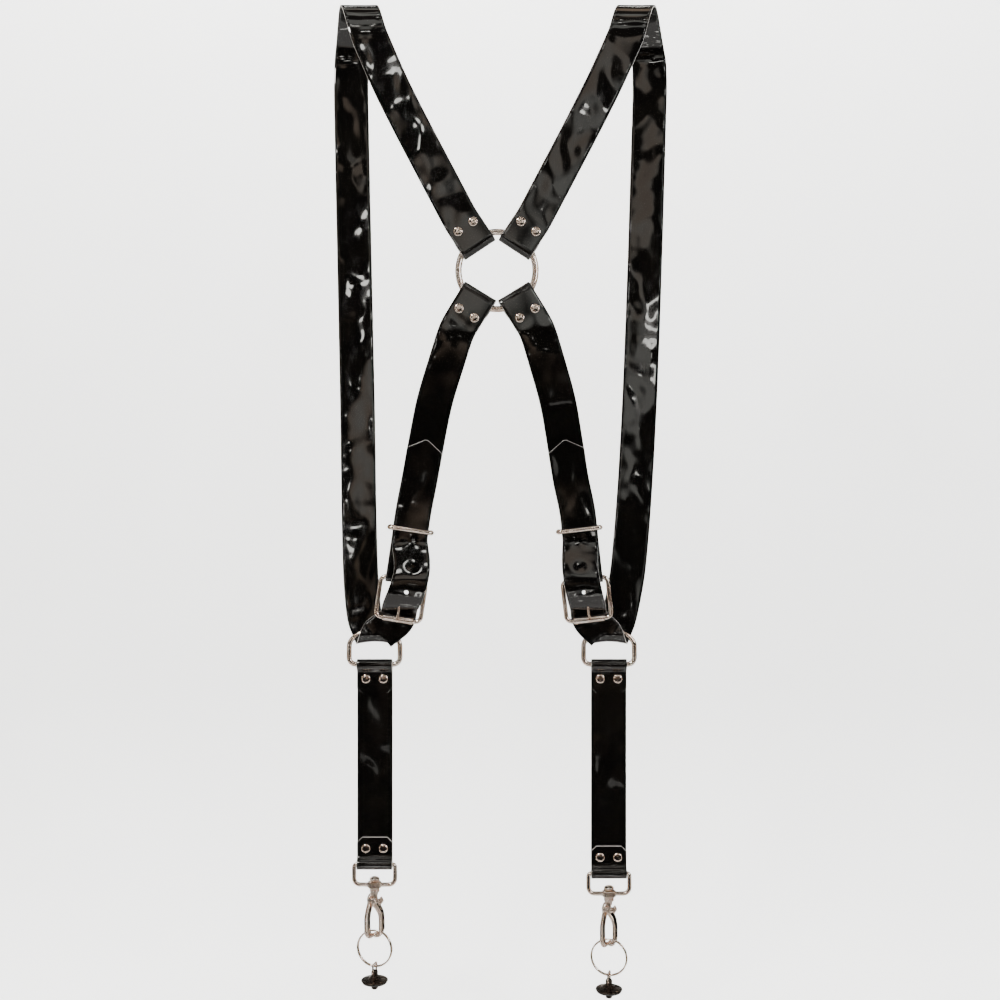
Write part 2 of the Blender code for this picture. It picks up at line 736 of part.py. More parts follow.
def hook_body(name, at_swivel):
    made = turned(f"{name}_hook_body", post_profile(), nickel, parent=at_swivel, steps=14)
    head = axes_matrix(Vector((-1.2 * MM, 1.7 * MM, -30.8 * MM)), X, Z, -Y)
    union_of(made, rod_mesh("head", 5.6 * MM, 3.0 * MM), head)
    arm = through([Vector((x * MM, 0, z * MM)) for x, z in
                   ((-3.0, -32), (-5.2, -38), (-7.3, -46), (-7.3, -57.5))], 3 * MM)
    line, widths = jaw_round(192, 320, 8)
    widths = [ARM_HALF_W] * len(arm) + widths
    union_of(made, flat_bar(arm + in_xz(line), widths, 1, ARM_HALF_T),
             Matrix.Translation((0, ARM_Y, 0)))
    hole = pivot_axes()
    cut(made, rod_cutter(f"{name}_pivot_hole", PIN_HOLE, 14 * MM, hole, made))


def hook_jaw(name, at_jaw):
    """The sprung jaw, in the pivot's own frame: X across, Y up, Z towards the front."""
    middle = ARM_Y
    hub = Matrix.Translation((0, 0, middle))
    made = add(f"{name}_hook_jaw", rod_mesh("hub", 3.2 * MM, 2.4 * MM), nickel, hub, at_jaw)

    def local(x, z):
        return Vector((x * MM - PIVOT_SIDE, z * MM + PIVOT_DROP, 0))

    arm = through([local(-3, -32), local(2.0, -37.5), local(6.5, -45.5), local(7.3, -57.5)], 3 * MM)
    line, widths = jaw_round(-12, -108, 7)
    widths = [ARM_HALF_W] * len(arm) + widths
    arm += [Vector((u - PIVOT_SIDE, v + PIVOT_DROP, 0)) for u, v in line]
    union_of(made, flat_bar(arm, widths, 2, JAW_HALF_T))
    lever = through([local(-1.5, -32.2), local(4.2, -34.2), local(8.2, -32.2)], 3 * MM)
    union_of(made, flat_bar(lever, [THUMB_HALF_W] * len(lever), 2, JAW_HALF_T))
    cut(made, rod_cutter(f"{name}_jaw_hole", PIN_HOLE, 8 * MM, Matrix.Identity(4), made))


def hook_pin(name, at_pivot):
    front = 4.6 * MM
    rear = -3.5 * MM
    turned(f"{name}_hook_pin",
           [(0, front + 1.3 * MM), (1.8 * MM, front + 1.0 * MM), (2.6 * MM, front),
            (PIN_R, front), (PIN_R, rear), (2.5 * MM, rear), (2.5 * MM, rear - 0.8 * MM),
            (0, rear - 0.8 * MM)], nickel, None, at_pivot, steps=14)


def hook_spring(name, at_pivot):
    """A torsion spring round the pin, between the jaw and the pin's head."""
    coil = 2.2 * MM
    thread = 0.3 * MM
    turns = 1.25
    count = 16
    low = 3.15 * MM
    rise = 0.5 * MM
    line = []
    for k in range(count + 1):
        a = radians(60) + 2 * pi * turns * k / count
        line.append(Vector((coil * cos(a), coil * sin(a), low + rise * turns * k / count)))
    line.insert(0, line[0] + Vector((3.2 * MM, -2.4 * MM, 0)))
    line.append(line[-1] + Vector((-7.5 * MM, 2.6 * MM, 0)))
    wire(f"{name}_hook_spring", line, thread, False, nickel, None, at_pivot)


# ---------------------------------------------------------------- split ring and camera screw
def split_ring(name, at_top):
    """Two close turns of wire; its origin is the top of the ring, where it hangs."""
    count = 26
    line = []
    for k in range(2 * count - 2):
        a = radians(100) + 2 * pi * k / count
        line.append(Vector((SPLIT_R * cos(a), SPLIT_PITCH * (k / count - 1),
                            SPLIT_R * sin(a) - SPLIT_R)))
    wire(f"{name}_split_ring", line, SPLIT_WIRE, False, nickel, None, at_top)


BAIL_TOP = 8.5 * MM             # bail's upper bar above the screw's cross hole
BAIL_HALF = 4.3 * MM


def screw_bail(name, at_bail):
    """The small wire bail, in a frame at its own upper bar; it stands across the split ring."""
    c = 1.6 * MM
    corners = ((BAIL_HALF - c, -c, 0), (-BAIL_HALF + c, -c, 90),
               (-BAIL_HALF + c, -BAIL_TOP + c, 180), (BAIL_HALF - c, -BAIL_TOP + c, 270))
    outline = [p for u, v, start in corners for p in arc(u, v, c, c, start, start + 90, 3)]
    points = [Vector((0, u, v)) for u, v in outline]
    wire(f"{name}_screw_bail", points, BAIL_WIRE, True, nickel, None, at_bail)


def screw_profile():
    """Lug, hat-shaped head, flange and stud, down the outer side from the top."""
    seat = FLANGE_TOP - FLANGE_T
    low = seat - STUD_L
    chamfer = 0.6 * MM
    return [(0, 3.2 * MM), (2.2 * MM, 2.9 * MM), (LUG_R, 1.8 * MM), (LUG_R, -2.4 * MM),
            (HEAD_R, -4.2 * MM), (0.8 * FLANGE_R, FLANGE_TOP + chamfer), (FLANGE_R, FLANGE_TOP),
            (FLANGE_R, seat), (STUD_R, seat), (STUD_R, low + chamfer), (STUD_R - chamfer, low),
            (0, low)]


def dark_steel(name):
    return material(name, (0.05, 0.045, 0.04), 0.3, 1.0)


def rubber(name):
    return material(name, (0.015, 0.015, 0.015), 0.8, 0.0)


def camera_screw(name, at_screw):
    made = turned(f"{name}_camera_screw", screw_profile(), dark_steel, None, at_screw, steps=20)
    across = axes_matrix(Vector((0, 0, 0)), Z, X, Y)
    cut(made, rod_cutter(f"{name}_bail_hole", BAIL_WIRE + 0.25 * MM, 12 * MM, across, made))
    hole = STUD_R + 0.4 * MM
    top = FLANGE_TOP - FLANGE_T - GAP
    low = top - WASHER_T
    turned(f"{name}_rubber_washer", [(hole, top), (WASHER_R, top), (WASHER_R, low), (hole, low),
                                     (hole, top)], rubber, None, at_screw, steps=20)


# ---------------------------------------------------------------- joints' frames
def frame(name, matrix, parent=None):
    made = bpy.data.objects.new(name, None)
    PARTS.objects.link(made)
    made.parent = parent
    made.matrix_local = matrix
    return made


def hanging_pieces(name, side):
    """Everything that swings below the D-ring, each piece under an empty on its joint's axis."""
    x = outwards(side, side["drop_x"])
    swing = frame(f"{name}_d_ring_joint", Matrix.Translation((x, 0, D_BAR_Z + D_SWING_RISE)))
    bar = frame(f"{name}_drop_joint", Matrix.Translation((0, 0, -D_SWING_RISE)), swing)
    eye = frame(f"{name}_eye_joint", Matrix.Translation((0, 0, -side["drop"])), bar)
    swivel = frame(f"{name}_swivel_joint", Matrix.Rotation(HOOK_YAW, 4, "Z"), eye)
    pivot = frame(f"{name}_jaw_joint", pivot_axes(), swivel)
    split = frame(f"{name}_split_joint", Matrix.Translation((0, 0, -SPLIT_TOP))
                  @ Matrix.Rotation(SPLIT_YAW - HOOK_YAW, 4, "Z"), swivel)
    bail_drop = 2 * SPLIT_R - SPLIT_WIRE - BAIL_WIRE - 0.4 * MM
    bail = frame(f"{name}_bail_joint", Matrix.Translation((0, 0, -bail_drop)), split)
    screw = frame(f"{name}_screw_joint", Matrix.Translation((0, 0, -BAIL_TOP)), bail)
    bpy.context.view_layer.update()
    d_ring(name, swing)
    drop_strap(name, side, bar)
    swivel_eye(name, eye)
    hook_body(name, swivel)
    hook_jaw(name, pivot)
    hook_pin(name, pivot)
    hook_spring(name, pivot)
    split_ring(name, split)
    screw_bail(name, bail)
    camera_screw(name, screw)


clear_scene()
PARTS = collection("camera_harness")
CUTTERS = collection("cutters")
back_ring()
for side_name, values in SIDES.items():
    shoulder_strap(side_name, values)
    back_strap(side_name, values)
    buckle(side_name, values)
    keeper(side_name, values)
    hanging_pieces(side_name, values)
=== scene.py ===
"""Looks of the cross-back camera harness: glossy patent straps and polished nickel hardware.

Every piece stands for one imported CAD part, hangs where the record's joints and boxes say it does,
and rides on that part's body. Metres, +Z up, -Y is the side with the buckles.
"""

import json
from collections import namedtuple
from math import atan2, cos, exp, pi, radians, sin, tan

import bmesh
import bpy
from mathutils import Matrix, Vector, noise


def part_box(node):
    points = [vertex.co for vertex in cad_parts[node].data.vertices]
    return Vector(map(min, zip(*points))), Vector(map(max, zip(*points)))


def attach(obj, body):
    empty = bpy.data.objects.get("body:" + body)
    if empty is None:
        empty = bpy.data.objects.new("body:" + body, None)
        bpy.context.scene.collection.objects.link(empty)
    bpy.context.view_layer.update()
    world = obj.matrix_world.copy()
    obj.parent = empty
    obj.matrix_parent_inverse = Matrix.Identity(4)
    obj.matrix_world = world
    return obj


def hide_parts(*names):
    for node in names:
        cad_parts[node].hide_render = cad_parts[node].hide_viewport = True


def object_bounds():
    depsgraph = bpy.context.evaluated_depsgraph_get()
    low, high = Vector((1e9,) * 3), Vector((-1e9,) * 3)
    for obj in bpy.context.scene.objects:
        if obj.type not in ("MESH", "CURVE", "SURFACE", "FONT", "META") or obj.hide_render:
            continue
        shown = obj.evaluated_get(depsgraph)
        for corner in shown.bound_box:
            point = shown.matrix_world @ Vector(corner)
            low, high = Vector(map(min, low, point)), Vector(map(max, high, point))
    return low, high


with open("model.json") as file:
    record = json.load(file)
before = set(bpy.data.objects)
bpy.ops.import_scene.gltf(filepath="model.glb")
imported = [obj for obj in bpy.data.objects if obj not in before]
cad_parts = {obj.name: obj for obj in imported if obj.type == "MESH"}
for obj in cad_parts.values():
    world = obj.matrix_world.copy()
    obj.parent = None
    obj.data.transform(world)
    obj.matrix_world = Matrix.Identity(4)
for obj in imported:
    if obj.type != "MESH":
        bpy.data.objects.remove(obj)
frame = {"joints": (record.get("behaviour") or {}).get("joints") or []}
CAD_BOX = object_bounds()

MM = 0.001
X = Vector((1, 0, 0))
Y = Vector((0, 1, 0))
Z = Vector((0, 0, 1))
JOINTS = {joint["name"]: joint for joint in frame["joints"]}

# -------- strap stock
STRAP_HALF = 15.8 * MM
STRAP_T = 2.0 * MM
GAP = 0.3 * MM
LAYER = STRAP_T + GAP
RAMP = 5.5 * MM  # length over which a fold closes to two layers
RAMP_STEPS = 7
FOLD_STEPS = 18
EDGE = 0.45 * MM  # rounding of a strap's cut edge
COLUMNS = 14  # faces across a strap's width
ROW = 2.2 * MM  # faces along it
WAVE = 0.42 * MM  # height of the slow waves in a hanging strap
WAVE_WIDE = 21 * MM
WAVE_LONG = 34 * MM
CROWN = 0.14 * MM
CALM = 14 * MM  # the waves die out over this distance from a fitting

# -------- fittings
RIVET_CAP = 4.3 * MM
RIVET_SHANK = 1.5 * MM
RIVET_BACK = 3.6 * MM
RIVET_SPREAD = 7.8 * MM
BUCKLE_HALF = 20.0 * MM
BUCKLE_CORNER = 5.0 * MM
BUCKLE_WIRE = 2.0 * MM
ROLLER_R = 3.2 * MM
PRONG_WIRE = 1.3 * MM
KEEPER_WIRE = 2.1 * MM
D_WIRE = 2.25 * MM
D_HALF = 22.7 * MM
EYE_WIRE = 1.9 * MM
SPLIT_WIRE = 0.74 * MM  # a hair under the CAD's, so that the bail clears it
BAIL_WIRE = 0.86 * MM
STUD_R = 3.17 * MM  # 1/4-20 UNC
THREAD_PITCH = 1.27 * MM
FLANGE_R = 12.0 * MM


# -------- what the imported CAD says
def middle_of(node):
    low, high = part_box(node)
    return (low + high) / 2


class Side:
    """One side's bars and pivots, all read from the record's joints and the CAD's boxes."""

    def __init__(self, name):
        self.name = name
        self.sign = -1 if name == "left" else 1
        self.heel = self.joint("prong_lift")
        self.roller = self.joint("roller_spin")
        self.up = (self.heel - self.roller).normalized()
        self.across = Y.cross(self.up)
        self.swing = self.joint("d_ring_swing")
        self.bar = self.joint("drop_strap_swing")
        self.eye = self.joint("eye_swing")
        self.split = self.joint("split_ring_swing")
        self.bail = self.joint("bail_swing")
        self.screw = self.joint("screw_flip")
        pin = self.joint("jaw_open", "axis")
        self.hook_yaw = atan2(pin.x, -pin.y)
        hang = self.joint("split_ring_swing", "axis")
        self.split_yaw = atan2(hang.y, hang.x)

    def joint(self, name, key="pos_m"):
        """Where one of this side's joints lies, or its axis."""
        return Vector(JOINTS[f"{self.name}_{name}"][key])

    def out(self, x):
        return self.sign * x

    def belt(self, s, n, inwards=0.0):
        """A point s up the belt from the heel bar and n out towards the front."""
        return self.heel + self.up * s - Y * n - self.across * self.out(inwards)


SIDES = [Side("left"), Side("right")]
RING = middle_of("back_ring")
RING_LOW, RING_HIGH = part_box("back_ring")
RING_WIRE = (RING_HIGH.y - RING_LOW.y) / 2
RING_R = (RING_HIGH.x - RING_LOW.x) / 2 - RING_WIRE
CREST_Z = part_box("left_shoulder_strap")[1].z - STRAP_T / 2
OVER_R = 36.3 * MM  # radius of the strap's centreline over the shoulder
POLE_Z = CREST_Z - OVER_R

# How far out each shoulder strap lies, in mm: over the shoulder (front, top, back), and down the
# chest at CHEST_DROPS below the shoulder's centre.
OVER_X = {"left": (111, 125, 134.5), "right": (112, 126.5, 140.5)}
CHEST_X = {"left": (134.5, 127, 123.5), "right": (140.5, 129.5, 119)}
CHEST_DROPS = (32, 311, 457)
FRONT_X, FRONT_Y, FRONT_RISE = 88 * MM, -35.6 * MM, 151.4 * MM
BACK_LINE = ((43, 78), (53.5, 113), (60.5, 148), (66.5, 182))  # mm out, mm below the ring
BACK_LEAD = 8 * MM  # over which the strap starts to turn down, below its loop
BACK_TURN = radians(4)
BACK_WIDTH = 80 * MM  # heel bar distance that BACK_LINE is drawn for
BACK_SHARE = 0.7  # share of the difference that the line's low end moves by
BACK_FROM, BACK_OVER = 46, 164  # mm below the ring: where it starts to move, and over what length
BIGHT_R = 6.6 * MM
BIGHT_LEAN = radians(22)
BIGHT_RISE = 27.7 * MM
HEEL_LOOP = BUCKLE_WIRE + 0.35 * MM + STRAP_T / 2
RING_LOOP = 4.3 * MM

Loop = namedtuple("Loop", "lean rise offset near")
UPPER_LOOP = Loop(radians(33.5), 1, 2.2 * MM, 28.0 * MM)
LOWER_LOOP = Loop(radians(31.5), -1, 2.6 * MM, 27.8 * MM)
LOOP_FAR = 36.6 * MM
LOOP_RIVETS = 46 * MM
LOOP_FLAP = 55 * MM
LOOP_END = 56 * MM

# The free end's centreline: mm up from the heel bar, mm towards the front, and its share of BULGE
# inwards. It goes under the roller, out over the heel bar and back onto the fixed strap.
FREE_END = ((-36, -5.3, 0), (-32.2, -4.4, 0), (-28.2, -0.6, 0.02), (-24.4, 4.4, 0.1),
            (-15, 9.5, 0.55), (-2, 11.2, 0.95), (12, 9.6, 1), (25, 7.0, 0.5), (34, 5.65, 0.05))
BULGE = {"left": 6.5 * MM, "right": 3.5 * MM}
TIP_Z = 55.5 * MM
TIP_L = 9 * MM
HOLE_R = 1.9 * MM
HOLE_S = (-11.2 * MM, 11.5 * MM, 34.2 * MM)


# -------- shader helpers
class Nodes:
    """Short names for building one material's node tree."""

    def __init__(self, tree):
        self.tree = tree

    def new(self, kind, **values):
        made = self.tree.nodes.new(kind)
        for key, value in values.items():
            setattr(made, key, value)
        return made

    def link(self, source, target):
        self.tree.links.new(source, target)

    def feed(self, node, **values):
        """Link or set a node's inputs; an underscore in a key stands for a space."""
        for key, value in values.items():
            socket = node.inputs[key.replace("_", " ")]
            if isinstance(value, bpy.types.NodeSocket):
                self.link(value, socket)
            else:
                socket.default_value = value

    def noise(self, coords, scale, detail=2.0, rough=0.5):
        made = self.new("ShaderNodeTexNoise")
        self.feed(made, Vector=coords, Scale=scale, Detail=detail, Roughness=rough)
        return made.outputs["Fac"]

    def stretched(self, coords, scale):
        made = self.new("ShaderNodeMapping")
        self.feed(made, Vector=coords, Scale=scale)
        return made.outputs["Vector"]

    def span(self, value, low, high, start=0.35, stop=0.65):
        """The value's range start..stop mapped onto low..high, and held at its ends."""
        made = self.new("ShaderNodeMapRange")
        self.feed(made, Value=value, From_Min=start, From_Max=stop, To_Min=low, To_Max=high)
        return made.outputs["Result"]

    def mix(self, factor, low, high):
        """A blend of two colours, each one given as RGB or as another node's output."""
        made = self.new("ShaderNodeMix", data_type="RGBA")
        low, high = ((*c, 1) if isinstance(c, tuple) else c for c in (low, high))
        self.feed(made, Factor=factor, A=low, B=high)
        return made.outputs["Result"]

    def times(self, first, second):
        made = self.new("ShaderNodeMath", operation="MULTIPLY")
        self.link(first, made.inputs[0])
        self.link(second, made.inputs[1])
        return made.outputs["Value"]

    def bump(self, height, distance, strength=1.0, under=None):
        made = self.new("ShaderNodeBump")
        self.feed(made, Height=height, Distance=distance, Strength=strength)
        if under:
            self.link(under, made.inputs["Normal"])
        return made.outputs["Normal"]


def begin(name):
    made = bpy.data.materials.new(name)
    made.use_nodes = True
    nodes = Nodes(made.node_tree)
    shader = made.node_tree.nodes["Principled BSDF"]
    coords = nodes.new("ShaderNodeTexCoord").outputs["Object"]
    return made, nodes, shader, coords


def patent():
    """Black patent PVC: a liquid gloss over a soft, slightly uneven base."""
    made, nodes, shader, coords = begin("patent_pvc")
    cloud = nodes.noise(coords, 45, 3)
    base = nodes.mix(cloud, (0.0006, 0.0006, 0.0008), (0.003, 0.0026, 0.002))
    smear = nodes.noise(nodes.stretched(coords, (1, 1, 0.35)), 160, 4, 0.6)
    slow = nodes.noise(nodes.stretched(coords, (1, 1, 0.55)), 36, 0.4)
    soft = nodes.bump(slow, 1.1 * MM, 0.32)
    peel = nodes.noise(coords, 300, 1)
    fine = nodes.bump(peel, 0.008 * MM, 0.4, soft)
    nodes.feed(shader, Base_Color=base, Roughness=nodes.span(smear, 0.03, 0.09), Normal=fine,
               Specular_IOR_Level=0.6, Coat_Weight=0.9, Coat_Roughness=0.012, Coat_Normal=fine)
    return made


def cut_edge():
    """The strap's cut edge: a satin grey core between its two glossy faces, its pale streaks a
    painted highlight for the bright lines that reflected light draws along the edges.
    """
    made, nodes, shader, coords = begin("patent_edge")
    layers = nodes.noise(nodes.stretched(coords, (1, 6, 1)), 900, 3, 0.6)
    # the pale end of this mix is painted highlight along the edge; the dark end is the core's own
    # grey
    nodes.feed(shader, Base_Color=nodes.mix(layers, (0.1, 0.095, 0.09), (0.42, 0.4, 0.37)),
               Roughness=nodes.span(layers, 0.22, 0.5),
               Normal=nodes.bump(layers, 0.08 * MM, 0.6))
    return made


def plated(name, dark, light, smooth, worn, scratch=0.1):
    """Polished plate: a slow tint, rubbed patches, and fine scratches that catch the light."""
    made, nodes, shader, coords = begin(name)
    tint = nodes.noise(coords, 70, 3)
    rubbed = nodes.noise(coords, 260, 5, 0.65)
    lines = nodes.noise(nodes.stretched(coords, (1, 1, 7)), 900, 3, 0.7)
    pits = nodes.bump(nodes.noise(coords, 110, 1), 0.04 * MM, 0.2)
    nodes.feed(shader, Base_Color=nodes.mix(nodes.span(tint, 0, 1), dark, light), Metallic=1.0,
               Roughness=nodes.span(rubbed, smooth, worn),
               Normal=nodes.bump(lines, 0.02 * MM, scratch, pits))
    return made


def worn_dark_plate():
    """Dark bronze plate that has rubbed through to brighter metal on its corners."""
    made = plated("dark_screw", (0.022, 0.019, 0.017), (0.07, 0.055, 0.045), 0.16, 0.38, 0.6)
    nodes = Nodes(made.node_tree)
    shader = made.node_tree.nodes["Principled BSDF"]
    base = shader.inputs["Base Color"].links[0].from_socket
    corner = nodes.new("ShaderNodeNewGeometry").outputs["Pointiness"]
    rubbed = nodes.span(corner, 0, 1, 0.52, 0.62)
    nodes.feed(shader, Base_Color=nodes.mix(rubbed, base, (0.36, 0.27, 0.2)))
    return made


def washer_rubber():
    made, nodes, shader, coords = begin("washer_rubber")
    grain = nodes.noise(coords, 1500, 4, 0.7)
    nodes.feed(shader, Base_Color=nodes.mix(grain, (0.008, 0.008, 0.008), (0.035, 0.034, 0.032)),
               Roughness=nodes.span(grain, 0.55, 0.85),
               Normal=nodes.bump(grain, 0.06 * MM, 0.7))
    return made


NICKEL_DARK = (0.78, 0.62, 0.52)
NICKEL_LIGHT = (0.95, 0.84, 0.76)
MATERIALS = {
    "patent_pvc": patent(),
    "nickel": plated("nickel", NICKEL_DARK, NICKEL_LIGHT, 0.06, 0.15),
    "spring_steel": plated("spring_steel", (0.32, 0.29, 0.25), (0.6, 0.55, 0.48), 0.2, 0.4),
    "dark_screw": worn_dark_plate(),
    "washer_rubber": washer_rubber(),
}
# the cut edges' finish: partly the core's own grey, partly painted highlight
EDGE_GREY_AND_PAINTED_SHEEN = cut_edge()


# -------- piece helpers
def put(name, data):
    made = bpy.data.objects.new(name, data)
    bpy.context.scene.collection.objects.link(made)
    return made


def add(name, data, body, slot, matrix=None, replaces=()):
    """Put one piece in the scene with the finish of its slot, and hang it on its CAD body."""
    made = put(name, data)
    if not any(data.materials):
        data.materials.clear()
        data.materials.append(MATERIALS[slot])
    made.matrix_world = matrix or Matrix()
    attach(made, body)
    if replaces:
        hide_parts(*replaces)


def fit(side, name, data, body, slot, matrix, node=None):
    """Add one side's piece to that side's body, in place of that side's CAD part."""
    add(f"{side.name}_{name}", data, f"{side.name}_{body}", slot, matrix,
        [f"{side.name}_{node}"] if node else ())


def mesh_from(name, bm):
    data = bpy.data.meshes.new(name)
    bm.to_mesh(data)
    bm.free()
    return data


def smooth(data, angle=35):
    data.shade_smooth()
    data.set_sharp_from_angle(angle=radians(angle))
    return data


def axes_matrix(origin, x_axis, y_axis, z_axis):
    turn = Matrix((x_axis, y_axis, z_axis)).transposed().to_4x4()
    return Matrix.Translation(origin) @ turn


def upright_on(origin, normal):
    """A frame whose Z is the given normal."""
    turn = normal.to_track_quat("Z", "Y").to_matrix().to_4x4()
    return Matrix.Translation(origin) @ turn


def turned_about(origin, yaw):
    return Matrix.Translation(origin) @ Matrix.Rotation(yaw, 4, "Z")


def arc(centre_u, centre_v, radius_u, radius_v, start, end, count):
    """Points of an ellipse's arc, in degrees, in a plane (u, v)."""
    points = []
    for i in range(count + 1):
        a = radians(start + (end - start) * i / count)
        points.append((centre_u + radius_u * cos(a), centre_v + radius_v * sin(a)))
    return points


def circle(radius, steps):
    """Points evenly round a circle in a plane (u, v)."""
    turns = [2 * pi * k / steps for k in range(steps)]
    return [(radius * cos(a), radius * sin(a)) for a in turns]


def rounded_box(half, low, high, c, count):
    """A rectangle's outline in a plane (u, v), with corners rounded to the radius c."""
    corners = ((half - c, high - c, 0), (-half + c, high - c, 90),
               (-half + c, low + c, 180), (half - c, low + c, 270))
    return [p for u, v, start in corners for p in arc(u, v, c, c, start, start + 90, count)]


def in_xz(points):
    return [Vector((u, 0, v)) for u, v in points]


def through(points, spacing):
    """A smooth line through the given points (Catmull-Rom), in steps of about the given spacing."""
    ends = [points[0] * 2 - points[1], *points, points[-1] * 2 - points[-2]]
    line = []
    for a, b, c, d in zip(ends, ends[1:], ends[2:], ends[3:]):
        gap = (c - b).length
        count = max(1, round(gap / spacing))
        m0 = (c - a) * (gap / (gap + (b - a).length))
        m1 = (d - b) * (gap / ((d - c).length + gap))
        for k in range(count):
            t = k / count
            line.append(b * (2 * t**3 - 3 * t**2 + 1) + m0 * (t**3 - 2 * t**2 + t)
                        + c * (3 * t**2 - 2 * t**3) + m1 * (t**3 - t**2))
    line.append(points[-1].copy())
    return line


def evaluated_mesh(guide):
    """The mesh that an object's bevel or modifiers make; the object itself is removed."""
    bpy.context.view_layer.update()
    seen = guide.evaluated_get(bpy.context.evaluated_depsgraph_get())
    made = bpy.data.meshes.new_from_object(seen)
    bpy.data.objects.remove(guide, do_unlink=True)
    return made


def wire_mesh(points, radius, cyclic, sides=6, thickness=None):
    """A bent wire; thickness gives each point's share of the radius."""
    data = bpy.data.curves.new("wire", "CURVE")
    data.dimensions = "3D"
    data.bevel_depth = radius
    data.bevel_resolution = sides
    data.use_fill_caps = not cyclic
    line = data.splines.new("POLY")
    line.points.add(len(points) - 1)
    for i, (place, point) in enumerate(zip(line.points, points)):
        place.co = (*point, 1)
        if thickness:
            place.radius = thickness[i]
    line.use_cyclic_u = cyclic
    bm = bmesh.new()
    bm.from_mesh(evaluated_mesh(put("guide", data)))
    bmesh.ops.remove_doubles(bm, verts=bm.verts, dist=1e-6)
    return smooth(mesh_from("wire", bm))


def rounded(profile, radius, count=4):
    """A turned profile with each of its inner corners rounded off."""
    made = [profile[0]]
    for a, b, c in zip(profile, profile[1:], profile[2:]):
        a, b, c = Vector(a), Vector(b), Vector(c)
        back, ahead = a - b, c - b
        start = b + back.normalized() * min(radius, back.length * 0.45)
        end = b + ahead.normalized() * min(radius, ahead.length * 0.45)
        for k in range(count + 1):
            t = k / count
            made.append(tuple(start * (1 - t)**2 + b * 2 * t * (1 - t) + end * t**2))
    made.append(profile[-1])
    return made


def band(bm, low, high):
    """The faces between two closed rows of vertices; a row may be one point, repeated."""
    faces = []
    for k in range(len(low)):
        n = (k + 1) % len(low)
        corners = list(dict.fromkeys((low[k], low[n], high[n], high[k])))
        if len(corners) > 2:
            faces.append(bm.faces.new(corners))
    return faces


def turned_mesh(profile, steps=48):
    """A solid turned about Z from a profile of (radius, height)."""
    bm = bmesh.new()
    rings = []
    for r, z in profile:
        if r < 1e-7:
            rings.append([bm.verts.new((0, 0, z))] * steps)
        else:
            rings.append([bm.verts.new((u, v, z)) for u, v in circle(r, steps)])
    for low, high in zip(rings, rings[1:]):
        band(bm, low, high)
    bmesh.ops.recalc_face_normals(bm, faces=bm.faces)
    return smooth(mesh_from("turned", bm))


def disc(radius, half, soft, steps=48):
    """A round plate about Z with softened rims."""
    profile = [(0, half), (radius, half), (radius, -half), (0, -half)]
    return turned_mesh(rounded(profile, soft), steps)


def joined(*parts):
    """One mesh from several (mesh, matrix) pairs."""
    bm = bmesh.new()
    for data, matrix in parts:
        data.transform(matrix)
        bm.from_mesh(data)
    return mesh_from("joined", bm)


def cast(data, grain=0.26 * MM):
    """The parts of a casting melted into one smooth skin."""
    guide = put("cast", data)
    skin = guide.modifiers.new("skin", "REMESH")
    skin.mode = "VOXEL"
    skin.voxel_size = grain
    relax = guide.modifiers.new("relax", "SMOOTH")
    relax.factor = 0.5
    relax.iterations = 1
    made = evaluated_mesh(guide)
    made.shade_smooth()
    return made


def cut(data, cutters):
    """The mesh with elliptical holes, each one given as (matrix, radius, radius, length)."""
    guide = put("cut", data)
    bm = bmesh.new()
    for matrix, radius_u, radius_v, length in cutters:
        shape = matrix @ Matrix.Diagonal((radius_u, radius_v, 1, 1))
        bmesh.ops.create_cone(bm, cap_ends=True, segments=32, radius1=1, radius2=1,
                              depth=length, matrix=shape)
    tool = put("tool", mesh_from("tool", bm))
    step = guide.modifiers.new("cut", "BOOLEAN")
    step.operation = "DIFFERENCE"
    step.object = tool
    step.solver = "EXACT"
    step.material_mode = "TRANSFER"
    made = evaluated_mesh(guide)
    bpy.data.objects.remove(tool, do_unlink=True)
    return smooth(made, 50)


# -------- how a strap's skin waves
Station = namedtuple("Station", "point guide half")
Dent = namedtuple("Dent", "centre push depth reach")
Crease = namedtuple("Crease", "centre up depth reach")


def smooth_step(t):
    t = min(1, max(0, t))
    return t * t * (3 - 2 * t)


def wave_at(point, still):
    """The height of the slow waves at a point; they die out near the fittings."""
    calm = 1.0
    for centre, reach in still:
        calm = min(calm, smooth_step(((point - centre).length - reach) / CALM))
    if calm == 0:
        return 0.0
    drift = 0.35 if point.y > 0 else 0.0
    slow = noise.noise(Vector((point.x / WAVE_WIDE + drift, 0.3 + drift, point.z / WAVE_LONG)))
    quick = noise.noise(Vector((point.x / (WAVE_WIDE * 0.55), 7.7 + drift,
                                point.z / (WAVE_LONG * 0.45))))
    return calm * WAVE * (slow * 1.5 + quick * 0.45)


def dent_at(point, dents, creases):
    shift = Vector((0, 0, 0))
    for centre, push, depth, reach in dents:
        gap = (point - centre).length
        if gap < reach * 3:
            shift += push * (depth * exp(-(gap / reach)**2))
    for centre, up, depth, reach in creases:
        if (point - centre).length < STRAP_HALF * 1.25:
            shift += Y * (depth * exp(-((point - centre).dot(up) / reach)**2))
    return shift


def section(half):
    """The strap's section as (across, out) points, once round."""
    flat = half - EDGE
    high = STRAP_T / 2
    corner = EDGE * 0.29  # what a rounding of 45 degrees takes off
    side = [(flat + EDGE - corner, high - corner), (half, high - EDGE),
            (half, EDGE - high), (flat + EDGE - corner, corner - high)]
    top = [(-flat + 2 * flat * k / COLUMNS, high) for k in range(COLUMNS + 1)]
    low = [(u, -v) for u, v in reversed(top)]
    return top + side + low + [(-u, -v) for u, v in side]


# the faces round a section that are its two cut edges
EDGE_SPANS = {COLUMNS + 1 + k for k in range(3)} | {2 * COLUMNS + 6 + k for k in range(3)}


